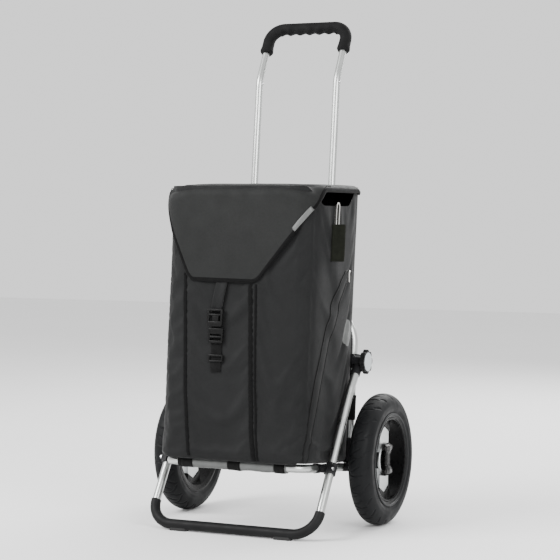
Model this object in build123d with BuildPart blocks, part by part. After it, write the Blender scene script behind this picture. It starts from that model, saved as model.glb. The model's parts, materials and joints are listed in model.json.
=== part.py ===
from build123d import *

import os
from math import atan2, cos, degrees, radians, sin, sqrt, tan

# Wheeled shopping hand truck: a leaning tube frame on two air wheels, a stand at the front,
# a load platform, a telescopic handle and a soft bag.  Millimetres, +X to the right along the
# axle, +Y to the back, +Z up, origin on the floor at the middle of the overall box.

# --- driving sizes -------------------------------------------------------------------------
# frame
lean = 5.9                    # backward lean of the frame, degrees
lower_half_span = 167.0       # centre of the outer tubes beside the bag
upper_half_span = 96.3        # centre of the outer tubes behind the bag
outer_tube_od = 20.0
outer_tube_bore = 17.0
tube_set = 21.8               # outer tubes pass this far in front of the axle
tube_foot_u = -22.0           # lower end of the outer tubes, along them from the axle
shoulder_low_u = 293.0        # corner where the tubes turn inward
shoulder_rise = 59.0
shoulder_low_radius = 90.0
shoulder_high_radius = 35.0
outer_top_u = 590.0
cross_bar_od = 14.0
bush_length = 34.0
bush_lip = 4.0
slide_fit = 0.06              # radial play of a sliding or turning fit

# handle
handle_od = 16.0
handle_wall = 1.5
handle_end_u = 560.0          # lower end of the handle tubes when pulled out
handle_bend_u = 849.0
handle_top_z = 1113.0
handle_top_back = 131.0       # handle bar behind the axle
handle_bend_radius = 60.0
handle_corner_radius = 34.0
handle_travel = 190.0
grip_od = 28.0
grip_arm = 66.0               # how far the grip runs down each arm
button_u = 842.0
button_od = 6.0
button_reach = 2.6            # how far a snap button stands out of the tube

# wheels
wheel_od = 290.0
tyre_width = 55.0
tyre_wall = 5.0
wheel_half_track = 237.0
rim_seat_r = 103.0
rim_lip_r = 98.0
rim_inner_r = 88.0
rim_width = 49.0
hub_od = 60.0
hub_depth = 24.0
axle_od = 12.0
bearing_od = 22.0
spoke_width = 52.0
spoke_thick = 14.0
spoke_tip_r = 74.0
cap_height = 62.0
cap_end_width = 40.0
cap_waist = 26.0
cap_thick = 14.0

# stand
stand_half_span = 195.0
stand_od = 18.0
stand_wall = 1.5
stand_reach = 269.0           # foot bar in front of the axle
foot_bar_z = 13.2
foot_radius = 52.0
leg_angle = 33.25             # straight part of the legs, from upright
knee_from_top = 73.0          # knee below the stand pivot, along the leg
pivot_ahead = 28.0            # stand pivot in front of the axle
pivot_z = 361.0
sleeve_od = 22.0
sleeve_rise = 51.0            # the foot sleeve ends at this height
pad_length = 40.0
socket_od = 21.0
barrel_od = 22.0               # hub of the stand's pivot, around the knob's stud
socket_length = 22.0
stud_od = 8.0
knob_od = 54.0
knob_thick = 9.5
knob_face_od = 41.0

# platform
platform_od = 18.0
platform_wall = 1.5
platform_half_span = 162.0
platform_corner_radius = 34.0
wrap_left = -119.0            # cloth wrapped round the front bar
wrap_right = 124.0
platform_reach = 214.0        # hinge to the front bar
hinge_out = 21.3              # hinge in front of the outer tubes
hinge_u = -19.3
fold_angle = 80.0
clamp_length = 24.0
clamp_od = 25.0

# bag
bag_half_width = 181.0
bag_back_gap = 2.0            # bag to outer tubes
bag_depth_low = 250.0
bag_depth_high = 262.0
bag_corner = 40.0
bag_edge = 26.0
bag_wall = 3.0
bag_top_z = 744.0
bag_floor_gap = 1.6           # bag to platform
board_thick = 5.0
flap_thick = 3.0
flap_gap = 0.8
flap_drop_z = 538.0           # lower edge of the flap
flap_hem_left = -108.0        # ends of the flap's lower edge
flap_hem_right = 51.0
flap_left_z = 711.0           # the flap's slanting edges turn onto the flanks here
flap_right_z = 705.0
flap_skirt = 18.0             # how far the flap hangs over the flanks
flap_edge_radius = 8.0
strap_x = -40.0
strap_width = 25.0
strap_lap = 8.0               # webbing sewn onto the flap
strap_low_z = 343.0
buckle_width = 36.0
buckle_top_z = 480.0
buckle_height = 38.0
buckle_thick = 7.0
lock_height = 34.5
lock_thick = 8.0
buckle_corner = 5.0
buckle_gap = 0.5
ladder_z = 375.0              # ladder bar that holds the webbing's tail
ladder_height = 14.0
ladder_thick = 4.0
webbing = 1.6
trim = 1.5                    # how far sewn trim stands off the cloth

# --- derived places ------------------------------------------------------------------------
axle_z = wheel_od / 2
front_reach = stand_reach + sleeve_od / 2
rear_reach = max(wheel_od / 2, handle_top_back + grip_od / 2)
axle_y = (front_reach - rear_reach) / 2
s_lean = sin(radians(lean))
c_lean = cos(radians(lean))


def at(x, u, w=0.0):
    """Point at u along the outer tubes from axle level and w in front of them."""
    return Vector(x, axle_y - tube_set + u * s_lean - w * c_lean, axle_z + u * c_lean + w * s_lean)


def tube_plane(u, w=0.0, x=0.0):
    """Plane square to the outer tubes, X to the right and Y to the front."""
    return Plane(origin=at(x, u, w), x_dir=(1, 0, 0), z_dir=(0, -s_lean, -c_lean))


def side_plane(x):
    """Plane square to the axle at x, its X to the back and its Y up."""
    return Plane(origin=(x, 0, 0), x_dir=(0, 1, 0), z_dir=(1, 0, 0))


pivot = Vector(0, axle_y - pivot_ahead, pivot_z)
hinge = at(0, hinge_u, hinge_out)
foot = Vector(0, axle_y - stand_reach, foot_bar_z)
leg_up = Vector(0, sin(radians(leg_angle)), cos(radians(leg_angle)))
leg_side = Vector(0, cos(radians(leg_angle)), -sin(radians(leg_angle)))
pivot_along = (pivot - foot).dot(leg_up)
pivot_aside = (pivot - foot).dot(leg_side)
knee = foot + leg_up * (pivot_along - knee_from_top)
leg_end = pivot + (knee - pivot).normalized() * 26.0

# the leg clamp sits where the platform arm crosses the leg
arm_out = Vector(0, -c_lean, s_lean)
cross = (hinge - foot).dot(leg_side) / -arm_out.dot(leg_side)
clamp_arm = cross
clamp_place = hinge + arm_out * cross
clamp_along = (clamp_place - foot).dot(leg_up)

# folded, the platform carries the clamp to this place, which sets how far the legs turn
folded_rise = radians(lean + fold_angle)
folded_clamp = hinge + Vector(0, -cos(folded_rise), sin(folded_rise)) * clamp_arm
folded_span = (folded_clamp - pivot).length
folded_run = sqrt(folded_span**2 - pivot_aside**2)
folded_bearing = degrees(atan2(pivot.Y - folded_clamp.Y, pivot.Z - folded_clamp.Z))
leg_turn = leg_angle - (folded_bearing - degrees(atan2(pivot_aside, folded_run)))
clamp_travel = (pivot_along - clamp_along) - folded_run


def bent_tube(points, radii, od, bore):
    """Round tube along straight runs joined by arcs."""
    with BuildPart() as tube:
        with BuildLine() as path:
            FilletPolyline(*points, radius=radii)
        with BuildSketch(Plane(origin=path.line @ 0, z_dir=path.line % 0)):
            Circle(od / 2)
            if bore:
                Circle(bore / 2, mode=Mode.SUBTRACT)
        sweep(transition=Transition.RIGHT)
    return tube.part


def straight_tube(start, end, od, bore=0.0):
    """Round rod or tube between two points."""
    with BuildPart() as tube:
        with BuildSketch(Plane(origin=start, z_dir=end - start)):
            Circle(od / 2)
            if bore:
                Circle(bore / 2, mode=Mode.SUBTRACT)
        extrude(amount=(end - start).length)
    return tube.part


def write(part, label):
    """Label one piece and write its STEP file."""
    part.label = label
    export_step(part, f"parts/{label}.step")
    print(label, round(part.volume / 1000, 1), "cm3")


sides = (("left", -1), ("right", 1))
os.makedirs("parts", exist_ok=True)

# --- frame ---------------------------------------------------------------------------------
shoulder_high_u = shoulder_low_u + shoulder_rise


def outer_tube(side):
    points = (
        at(side * lower_half_span, tube_foot_u),
        at(side * lower_half_span, shoulder_low_u),
        at(side * upper_half_span, shoulder_high_u),
        at(side * upper_half_span, outer_top_u),
    )
    radii = [shoulder_low_radius, shoulder_high_radius]
    return bent_tube(points, radii, outer_tube_od, outer_tube_bore)


def tube_bush(side):
    """Plastic bush that guides the handle tube in the top of the outer tube."""
    start = at(side * upper_half_span, outer_top_u - bush_length)
    with BuildPart() as bush:
        with BuildSketch(Plane(origin=start, z_dir=(0, s_lean, c_lean))):
            Circle(outer_tube_bore / 2)
        extrude(amount=bush_length)
        with BuildSketch(Plane(origin=at(side * upper_half_span, outer_top_u), z_dir=(0, s_lean, c_lean))):
            Circle(outer_tube_od / 2 + 1.0)
        extrude(amount=bush_lip)
        with BuildSketch(Plane(origin=start, z_dir=(0, s_lean, c_lean))):
            Circle(handle_od / 2 + slide_fit)
        extrude(amount=bush_length + bush_lip, mode=Mode.SUBTRACT)
    return bush.part


def cross_bar(u, half_span, name):
    """Cross bar whose ends are cut to the outer tubes."""
    with BuildPart() as bar:
        with BuildSketch(side_plane(-half_span)):
            with Locations((at(0, u).Y, at(0, u).Z)):
                Circle(cross_bar_od / 2)
        extrude(amount=2 * half_span)
        for _, side in sides:
            base = at(side * half_span, u - cross_bar_od)
            with BuildSketch(Plane(origin=base, z_dir=(0, s_lean, c_lean))):
                Circle(outer_tube_od / 2)
            extrude(amount=2 * cross_bar_od, mode=Mode.SUBTRACT)
    write(bar.part, name)


for name, side in sides:
    write(outer_tube(side), f"outer_tube_{name}")
write(Compound(children=[tube_bush(side) for _, side in sides]), "tube_bushes")

upper_bar_u = outer_top_u - 22.0
lower_bar_u = 176.0
cross_bar(upper_bar_u, upper_half_span, "cross_bar_upper")
cross_bar(lower_bar_u, lower_half_span, "cross_bar_lower")

axle_end = wheel_half_track + 0.5
write(straight_tube(Vector(-axle_end, axle_y, axle_z), Vector(axle_end, axle_y, axle_z), axle_od), "axle")

casting_wall = 4.0
casting_low_u = hinge_u + platform_od / 2 + 1.5
casting_high_u = 45.0
spacer_od = 24.0
spacer_end = wheel_half_track - hub_depth - 2.0
hinge_pin_od = 8.0
hinge_eye_half = 9.0          # the platform's hinge eye, either side of its arm
lug_gap = 0.5
lug_thick = 8.0
lug_od = platform_od - 1.0


def axle_casting(side):
    """Casting on the outer tube that carries the axle behind it and the platform hinge ahead."""
    x_tube = side * lower_half_span
    lug_in = platform_half_span + hinge_eye_half + lug_gap
    with BuildPart() as casting:
        with BuildSketch(Plane(origin=at(x_tube, casting_low_u), z_dir=(0, s_lean, c_lean))):
            Circle(outer_tube_od / 2 + casting_wall)
        extrude(amount=casting_high_u - casting_low_u)
        with BuildSketch(side_plane(side * (lower_half_span - outer_tube_od / 2))):
            with BuildLine():
                here = at(0, 0)
                Polyline(
                    (here.Y, here.Z + 26.0),
                    (axle_y + 4.0, axle_z + spacer_od / 2),
                    (axle_y + 4.0, axle_z - spacer_od / 2),
                    (here.Y, here.Z - 14.0),
                    close=True,
                )
            make_face()
        extrude(amount=side * outer_tube_od)
        with BuildSketch(side_plane(side * (lower_half_span - outer_tube_od / 2))):
            with Locations((axle_y, axle_z)):
                Circle(spacer_od / 2)
        extrude(amount=side * (spacer_end - lower_half_span + outer_tube_od / 2))
        with BuildSketch(side_plane(side * lug_in)):
            start = at(0, hinge_u + 3.0)
            with BuildLine():
                Polyline(
                    (start.Y + 4.0, start.Z + 20.0),
                    (hinge.Y, hinge.Z + lug_od / 2),
                    (hinge.Y, hinge.Z - lug_od / 2),
                    (start.Y + 4.0, start.Z - 4.0),
                    close=True,
                )
            make_face()
            with Locations((hinge.Y, hinge.Z)):
                Circle(lug_od / 2)
        extrude(amount=side * lug_thick)
        with BuildSketch(Plane(origin=at(x_tube, tube_foot_u - 20.0), z_dir=(0, s_lean, c_lean))):
            Circle(outer_tube_od / 2)
        extrude(amount=casting_high_u - tube_foot_u + 40.0, mode=Mode.SUBTRACT)
        with BuildSketch(side_plane(side * (lower_half_span - outer_tube_od))):
            with Locations((axle_y, axle_z)):
                Circle(axle_od / 2)
            with Locations((hinge.Y, hinge.Z)):
                Circle(hinge_pin_od / 2)
        extrude(amount=side * (spacer_end - lower_half_span + outer_tube_od + 5.0), mode=Mode.SUBTRACT)
    return casting.part


def hinge_pin(side):
    """Headed pin through the lug and the platform's eye."""
    pin_in = side * (platform_half_span - hinge_eye_half - 1.0)
    pin_out = platform_half_span + hinge_eye_half + lug_gap + lug_thick
    with BuildPart() as pin:
        with BuildSketch(side_plane(pin_in)):
            with Locations((hinge.Y, hinge.Z)):
                Circle(hinge_pin_od / 2)
        extrude(amount=side * (pin_out - abs(pin_in)))
        with BuildSketch(side_plane(side * pin_out)):
            with Locations((hinge.Y, hinge.Z)):
                Circle(hinge_pin_od / 2 + 2.5)
        extrude(amount=side * 2.5)
    return pin.part


bracket_low_u = 199.0
bracket_high_u = 231.0
bracket_wall = 5.0
plate_in = bag_half_width + 0.8
plate_out = stand_half_span - socket_od / 2 - lug_gap


def pivot_bracket(side):
    """Clamp on the outer tube with a plate that carries the stand pivot."""
    with BuildPart() as bracket:
        with BuildSketch(Plane(origin=at(side * lower_half_span, bracket_low_u), z_dir=(0, s_lean, c_lean))):
            Circle(outer_tube_od / 2 + bracket_wall)
        extrude(amount=bracket_high_u - bracket_low_u)
        tube_here = at(0, (bracket_low_u + bracket_high_u) / 2)
        with BuildSketch(side_plane(side * plate_in)):
            with BuildLine():
                Polyline(
                    (tube_here.Y + 6.0, tube_here.Z + 15.0),
                    (pivot.Y, pivot.Z + 13.0),
                    (pivot.Y, pivot.Z - 13.0),
                    (tube_here.Y + 6.0, tube_here.Z - 14.0),
                    close=True,
                )
            make_face()
            with Locations((pivot.Y, pivot.Z)):
                Circle(13.0)
        extrude(amount=side * (plate_out - plate_in))
        with BuildSketch(side_plane(side * (lower_half_span + outer_tube_od / 2 + 1.0))):
            with Locations((tube_here.Y, tube_here.Z)):
                Rectangle(20.0, 26.0)
        extrude(amount=side * (plate_out - lower_half_span - outer_tube_od / 2 - 1.0))
        tube_low = at(side * lower_half_span, bracket_low_u - 5.0)
        with BuildSketch(Plane(origin=tube_low, z_dir=(0, s_lean, c_lean))):
            Circle(outer_tube_od / 2)
        extrude(amount=bracket_high_u - bracket_low_u + 10.0, mode=Mode.SUBTRACT)
        with BuildSketch(side_plane(side * (plate_in - 1.0))):
            with Locations((pivot.Y, pivot.Z)):
                Circle(stud_od / 2 + slide_fit)
        extrude(amount=side * (plate_out - plate_in + 2.0), mode=Mode.SUBTRACT)
    return bracket.part


for name, side in sides:
    write(axle_casting(side), f"axle_casting_{name}")
    write(pivot_bracket(side), f"pivot_bracket_{name}")
write(Compound(children=[hinge_pin(side) for _, side in sides]), "hinge_pins")

# --- handle --------------------------------------------------------------------------------
handle_top = Vector(0, axle_y + handle_top_back, handle_top_z)


def handle_point(side, point):
    return Vector(side * upper_half_span, point.Y, point.Z)


handle_arm = (at(0, handle_bend_u) - handle_top).normalized()
with BuildPart() as handle_tube:
    with BuildLine() as handle_path:
        FilletPolyline(
            at(-upper_half_span, handle_end_u),
            at(-upper_half_span, handle_bend_u),
            handle_point(-1, handle_top),
            handle_point(1, handle_top),
            at(upper_half_span, handle_bend_u),
            at(upper_half_span, handle_end_u),
            radius=[handle_bend_radius, handle_corner_radius, handle_corner_radius, handle_bend_radius],
        )
    with BuildSketch(Plane(origin=handle_path.line @ 0, z_dir=handle_path.line % 0)):
        Circle(handle_od / 2)
        Circle(handle_od / 2 - handle_wall, mode=Mode.SUBTRACT)
    sweep(transition=Transition.RIGHT)
    for _, side in sides:
        with BuildSketch(side_plane(side * upper_half_span)):
            with Locations((at(0, button_u).Y, at(0, button_u).Z)):
                Circle(button_od / 2 + slide_fit)
        extrude(amount=handle_od, mode=Mode.SUBTRACT)
write(handle_tube.part, "handle_tube")

grip_end = handle_top + handle_arm * grip_arm
handle_grip = bent_tube(
    (
        handle_point(-1, grip_end),
        handle_point(-1, handle_top),
        handle_point(1, handle_top),
        handle_point(1, grip_end),
    ),
    [handle_corner_radius, handle_corner_radius],
    grip_od,
    handle_od,
)
write(handle_grip, "handle_grip")

button_root = handle_od / 2 - handle_wall - 3.0
for name, side in sides:
    with BuildPart() as button:
        centre = (at(0, button_u).Y, at(0, button_u).Z)
        with BuildSketch(side_plane(side * upper_half_span + button_root)):
            with Locations(centre):
                Circle(button_od / 2)
        extrude(amount=handle_od / 2 + button_reach - button_root)
        fillet(button.edges().sort_by(Axis.X)[-1], button_od / 4)
    write(button.part, f"snap_button_{name}")

# --- stand ---------------------------------------------------------------------------------
def on_leg(side, point):
    return Vector(side * stand_half_span, point.Y, point.Z)


knee_radius = 40.0
stand_tube = bent_tube(
    (
        on_leg(-1, leg_end),
        on_leg(-1, knee),
        on_leg(-1, foot),
        on_leg(1, foot),
        on_leg(1, knee),
        on_leg(1, leg_end),
    ),
    [knee_radius, foot_radius, foot_radius, knee_radius],
    stand_od,
    stand_od - 2 * stand_wall,
)
write(stand_tube, "stand_tube")

sleeve_end = foot + leg_up * ((sleeve_rise - foot_bar_z) / leg_up.Z + 8.0)
foot_sleeve = bent_tube(
    (on_leg(-1, sleeve_end), on_leg(-1, foot), on_leg(1, foot), on_leg(1, sleeve_end)),
    [foot_radius, foot_radius],
    sleeve_od,
    stand_od,
)
write(foot_sleeve, "foot_sleeve")

pad_x = stand_half_span - foot_radius - pad_length / 2
with BuildPart() as foot_pads:
    with BuildSketch():
        with Locations((-pad_x, foot.Y), (pad_x, foot.Y)):
            RectangleRounded(pad_length, sleeve_od - 4.0, 5.0)
    extrude(amount=foot_bar_z - 4.0)
    with BuildSketch(side_plane(-stand_half_span)):
        with Locations((foot.Y, foot.Z)):
            Circle(sleeve_od / 2)
    extrude(amount=2 * stand_half_span, mode=Mode.SUBTRACT)
write(foot_pads.part, "foot_pads")


def knuckle(side):
    """Socket on the end of a leg with the barrel that the knob clamps."""
    down = (leg_end - pivot).normalized()
    with BuildPart() as piece:
        with BuildSketch(side_plane(side * (stand_half_span - socket_od / 2))):
            with Locations((pivot.Y, pivot.Z)):
                Circle(barrel_od / 2)
        extrude(amount=side * socket_od)
        with BuildSketch(Plane(origin=on_leg(side, pivot) + down * 8.0, z_dir=down)):
            RectangleRounded(socket_od, socket_od, 3.0)
        extrude(amount=8.0)
        with BuildSketch(Plane(origin=on_leg(side, pivot) + down * 15.0, z_dir=down)):
            Circle(socket_od / 2)
        extrude(amount=socket_length)
        add(stand_tube, mode=Mode.SUBTRACT)
        with BuildSketch(Plane(origin=on_leg(side, leg_end), z_dir=down)):
            Circle(stand_od / 2)
        extrude(amount=socket_length, mode=Mode.SUBTRACT)
        with BuildSketch(side_plane(side * (stand_half_span - socket_od))):
            with Locations((pivot.Y, pivot.Z)):
                Circle(stud_od / 2 + slide_fit)
        extrude(amount=side * 2 * socket_od, mode=Mode.SUBTRACT)
    return piece.part


knob_in = stand_half_span + socket_od / 2 + lug_gap
lobes = 8


def clamp_knob(side):
    """Lobed hand knob, turned on the stud."""
    with BuildPart() as piece:
        with BuildSketch(side_plane(side * knob_in)):
            with Locations((pivot.Y, pivot.Z)):
                Circle(knob_od / 2 - 4.0)
                with PolarLocations(knob_od / 2 - 8.0, lobes):
                    Circle(8.0)
        extrude(amount=side * knob_thick)
        rim_edges = piece.edges().group_by(Axis.X)[-1 if side > 0 else 0]
        fillet(rim_edges, 1.2)
        with BuildSketch(side_plane(side * (knob_in + knob_thick))):
            with Locations((pivot.Y, pivot.Z)):
                Circle(knob_face_od / 2)
        extrude(amount=-side * 1.0, mode=Mode.SUBTRACT)
        with BuildSketch(side_plane(side * knob_in)):
            with Locations((pivot.Y, pivot.Z)):
                Circle(stud_od / 2)
        extrude(amount=side * (knob_thick - 2.0), mode=Mode.SUBTRACT)
    return piece.part


def knob_face(side):
    with BuildPart() as piece:
        with BuildSketch(side_plane(side * (knob_in + knob_thick - 1.0))):
            with Locations((pivot.Y, pivot.Z)):
                Circle(knob_face_od / 2)
        extrude(amount=side * 1.6)
    return piece.part


def knob_stud(side):
    with BuildPart() as piece:
        with BuildSketch(side_plane(side * (plate_in + 0.2))):
            with Locations((pivot.Y, pivot.Z)):
                Circle(stud_od / 2)
        extrude(amount=side * (knob_in + knob_thick - 2.0 - plate_in - 0.2))
    return piece.part


for name, side in sides:
    write(knuckle(side), f"stand_knuckle_{name}")
    write(clamp_knob(side), f"clamp_knob_{name}")
    write(knob_face(side), f"knob_face_{name}")
    write(knob_stud(side), f"knob_stud_{name}")

# --- platform ------------------------------------------------------------------------------
front_w = hinge_out + platform_reach
arm_start = hinge_out + platform_od / 2 + 1.0
platform_tube = bent_tube(
    (
        at(-platform_half_span, hinge_u, arm_start),
        at(-platform_half_span, hinge_u, front_w),
        at(platform_half_span, hinge_u, front_w),
        at(platform_half_span, hinge_u, arm_start),
    ),
    [platform_corner_radius, platform_corner_radius],
    platform_od,
    platform_od - 2 * platform_wall,
)
write(platform_tube, "platform_tube")


def hinge_eye(side):
    """Plug in the platform arm, ending in the eye on the hinge pin."""
    with BuildPart() as eye:
        with BuildSketch(side_plane(side * (platform_half_span - hinge_eye_half))):
            with Locations((hinge.Y, hinge.Z)):
                Circle(platform_od / 2)
        extrude(amount=side * 2 * hinge_eye_half)
        centre = at(side * platform_half_span, hinge_u, hinge_out)
        with BuildSketch(Plane(origin=centre, z_dir=arm_out)):
            Circle(platform_od / 2)
        extrude(amount=arm_start - hinge_out)
        with BuildSketch(Plane(origin=centre, z_dir=arm_out)):
            Circle(platform_od / 2 - platform_wall)
        extrude(amount=arm_start - hinge_out + 20.0)
        with BuildSketch(side_plane(side * (platform_half_span - 2 * hinge_eye_half))):
            with Locations((hinge.Y, hinge.Z)):
                Circle(hinge_pin_od / 2 + slide_fit)
        extrude(amount=side * 4 * hinge_eye_half, mode=Mode.SUBTRACT)
    return eye.part


collar_length = 20.0
boss_od = 17.0
boss_in = platform_half_span + platform_od / 2 + 3.2


def arm_collar(side):
    """Collar on the platform arm beside the leg clamp."""
    centre = at(side * platform_half_span, hinge_u, hinge_out + clamp_arm)
    half = collar_length / 2
    with BuildPart() as collar:
        with BuildSketch(Plane(origin=centre - arm_out * half, z_dir=arm_out)):
            Circle(platform_od / 2 + 1.4)
        extrude(amount=collar_length)
        with BuildSketch(side_plane(side * platform_half_span)):
            with Locations((centre.Y, centre.Z)):
                Circle(boss_od / 2)
        extrude(amount=side * (boss_in - lug_gap - platform_half_span))
        with BuildSketch(Plane(origin=centre - arm_out * collar_length, z_dir=arm_out)):
            Circle(platform_od / 2)
        extrude(amount=2 * collar_length, mode=Mode.SUBTRACT)
        top = tube_plane(hinge_u + platform_od / 2 + bag_floor_gap / 2, 0.0)
        split(bisect_by=top, keep=Keep.TOP)
    return collar.part


def leg_clamp(side):
    """Clamp that slides on the leg, its boss facing the platform arm."""
    centre = on_leg(side, clamp_place)
    half = clamp_length / 2
    with BuildPart() as clamp:
        with BuildSketch(Plane(origin=centre - leg_up * half, z_dir=leg_up)):
            Circle(clamp_od / 2)
        extrude(amount=clamp_length)
        with BuildSketch(side_plane(side * boss_in)):
            with Locations((centre.Y, centre.Z)):
                Circle(boss_od / 2)
        extrude(amount=side * (stand_half_span - boss_in))
        lug = centre - leg_up * 4.0 - leg_side * (clamp_od / 2 - 2.0)
        with BuildSketch(Plane(origin=lug, x_dir=(1, 0, 0), z_dir=leg_up)):
            with Locations((side * 3.5, 0)):
                Rectangle(12.0, 10.0)
        extrude(amount=8.0, both=True)
        with BuildSketch(Plane(origin=centre - leg_up * clamp_length, z_dir=leg_up)):
            Circle(stand_od / 2 + slide_fit)
        extrude(amount=2 * clamp_length, mode=Mode.SUBTRACT)
    return clamp.part




def clamp_bolt(side):
    """Bolt head and nut on the clamp's lug."""
    centre = on_leg(side, clamp_place)
    lug = centre - leg_up * 4.0 - leg_side * (clamp_od / 2 + 0.5)
    outer = stand_half_span + 9.5
    with BuildPart() as bolt:
        with BuildSketch(side_plane(side * outer)):
            with Locations((lug.Y, lug.Z)):
                RegularPolygon(4.2, 6)
        extrude(amount=side * 3.0)
    return bolt.part


def platform_sleeve():
    """Cloth sleeve that wraps the front bar, left of the bare stretch."""
    start = at(wrap_left, hinge_u, front_w)
    end = at(wrap_right, hinge_u, front_w)
    return straight_tube(start, end, platform_od + 2.0, platform_od)


for name, side in sides:
    write(hinge_eye(side), f"hinge_eye_{name}")
    write(arm_collar(side), f"arm_collar_{name}")
    write(leg_clamp(side), f"leg_clamp_{name}")
    write(clamp_bolt(side), f"clamp_bolt_{name}")
write(platform_sleeve(), "platform_sleeve")

# --- wheels --------------------------------------------------------------------------------
def wheel_section(side):
    """Plane through the wheel's axis, its X outward and its Y up from the axle."""
    return Plane(origin=(side * wheel_half_track, axle_y, axle_z), x_dir=(side, 0, 0), z_dir=(0, -side, 0))


def spin(side):
    return Axis((side * wheel_half_track, axle_y, axle_z), (1, 0, 0))


def tyre(side):
    section_r = tyre_width / 2
    with BuildPart() as piece:
        with BuildSketch(wheel_section(side)):
            with Locations((0, wheel_od / 2 - section_r)):
                Circle(section_r)
                Circle(section_r - tyre_wall, mode=Mode.SUBTRACT)
            with Locations((0, rim_seat_r - 20.0)):
                Rectangle(2 * tyre_width, 40.0, mode=Mode.SUBTRACT)
        revolve(axis=spin(side))
    return piece.part


def rim(side):
    half = rim_width / 2
    with BuildPart() as piece:
        with BuildSketch(wheel_section(side)):
            with BuildLine():
                Polyline(
                    (-half, rim_lip_r),
                    (-half + 3.0, rim_inner_r),
                    (half - 3.0, rim_inner_r),
                    (half, rim_lip_r),
                    (half, rim_seat_r),
                    (half - 4.0, rim_seat_r),
                    (half - 8.0, rim_inner_r + 4.0),
                    (-half + 8.0, rim_inner_r + 4.0),
                    (-half + 4.0, rim_seat_r),
                    (-half, rim_seat_r),
                    close=True,
                )
            make_face()
        revolve(axis=spin(side))
        web = Plane(origin=(side * wheel_half_track, axle_y, axle_z), x_dir=(0, 1, 0), z_dir=(side, 0, 0))
        for end in (-1, 1):
            with BuildSketch(web.offset(-spoke_thick / 2 - 2.0)):
                with BuildLine():
                    Polyline(
                        (-spoke_width / 2 - 6.0, end * (rim_inner_r + 1.0)),
                        (-spoke_width / 2 - 2.0, end * 60.0),
                        (0, end * spoke_tip_r),
                        (spoke_width / 2 + 2.0, end * 60.0),
                        (spoke_width / 2 + 6.0, end * (rim_inner_r + 1.0)),
                        close=True,
                    )
                make_face()
            extrude(amount=spoke_thick + 4.0)
    return piece.part


def spokes(side):
    web = Plane(origin=(side * wheel_half_track, axle_y, axle_z), x_dir=(0, 1, 0), z_dir=(side, 0, 0))
    with BuildPart() as piece:
        for end in (-1, 1):
            with BuildSketch(web.offset(-spoke_thick / 2)):
                with BuildLine():
                    Polyline(
                        (-spoke_width / 2 + 1.5, end * (hub_od / 2 - 12.0)),
                        (-spoke_width / 2, end * 58.8),
                        (0, end * (spoke_tip_r - 0.5)),
                        (spoke_width / 2, end * 58.8),
                        (spoke_width / 2 - 1.5, end * (hub_od / 2 - 12.0)),
                        close=True,
                    )
                make_face()
            extrude(amount=spoke_thick)
        with BuildSketch(web.offset(-spoke_thick)):
            Circle(hub_od / 2)
        extrude(amount=2 * spoke_thick, mode=Mode.SUBTRACT)
    return piece.part


def hub(side):
    with BuildPart() as piece:
        with BuildSketch(side_plane(side * (wheel_half_track - hub_depth + 1.0))):
            with Locations((axle_y, axle_z)):
                Circle(hub_od / 2)
                Circle(bearing_od / 2, mode=Mode.SUBTRACT)
        extrude(amount=side * (hub_depth + 6.0))
    return piece.part


def wheel_bearing(side):
    with BuildPart() as piece:
        with BuildSketch(side_plane(side * (wheel_half_track - hub_depth + 1.0))):
            with Locations((axle_y, axle_z)):
                Circle(bearing_od / 2)
                Circle(axle_od / 2 + slide_fit, mode=Mode.SUBTRACT)
        extrude(amount=side * (hub_depth - 1.0))
    return piece.part


def hub_cap(side):
    """Waisted cap over the axle end."""
    web = Plane(origin=(side * (wheel_half_track + 7.0), axle_y, axle_z), x_dir=(0, 1, 0), z_dir=(side, 0, 0))
    half_h = cap_height / 2
    with BuildPart() as piece:
        with BuildSketch(web):
            with BuildLine():
                Polyline(
                    (-cap_end_width / 2, half_h),
                    (-cap_waist / 2, 7.0),
                    (-cap_waist / 2, -7.0),
                    (-cap_end_width / 2, -half_h),
                    (cap_end_width / 2, -half_h),
                    (cap_waist / 2, -7.0),
                    (cap_waist / 2, 7.0),
                    (cap_end_width / 2, half_h),
                    close=True,
                )
            make_face()
            fillet(vertices(), 3.0)
        extrude(amount=cap_thick)
    return piece.part


wheel_pieces = (
    (tyre, "tyre"),
    (rim, "rim"),
    (spokes, "spokes"),
    (hub, "hub"),
    (wheel_bearing, "wheel_bearing"),
    (hub_cap, "hub_cap"),
)
for name, side in sides:
    for make, label in wheel_pieces:
        write(make(side), f"{label}_{name}")

# --- bag -----------------------------------------------------------------------------------
bag_back_w = outer_tube_od / 2 + bag_back_gap
bag_low_u = hinge_u + platform_od / 2 + bag_floor_gap
bag_high_u = (bag_top_z + 40.0 - axle_z) / c_lean


def bag_form(grow, low_u, top_z, edge=0.0):
    """Leaning box of cloth, grown all round, cut level at the top."""
    with BuildPart() as form:
        for u, depth in ((low_u, bag_depth_low), (bag_high_u, bag_depth_high)):
            with BuildSketch(tube_plane(u, bag_back_w + depth / 2)):
                RectangleRounded(2 * (bag_half_width + grow), depth + 2 * grow, bag_corner + grow)
        loft()
        split(bisect_by=Plane(origin=(0, 0, top_z)), keep=Keep.BOTTOM)
        if edge:
            low = form.faces().sort_by(Axis((0, 0, 0), (0, s_lean, c_lean)))[0]
            fillet(low.edges(), edge)
    return form.part


with BuildPart() as bag_shell:
    add(bag_form(0.0, bag_low_u, bag_top_z, bag_edge))
    inside = bag_form(-bag_wall, bag_low_u + bag_wall, bag_top_z + 1.0, bag_edge - bag_wall)
    add(inside, mode=Mode.SUBTRACT)
write(bag_shell.part, "bag_shell")

board_u = bag_low_u + bag_wall
board_inset = bag_edge + 1.0
with BuildPart() as bag_board:
    with BuildSketch(tube_plane(board_u + board_thick, bag_back_w + bag_depth_low / 2)):
        RectangleRounded(2 * (bag_half_width - board_inset), bag_depth_low - 2 * board_inset, 26.0)
    extrude(amount=board_thick)
write(bag_board.part, "bag_board")

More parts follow.
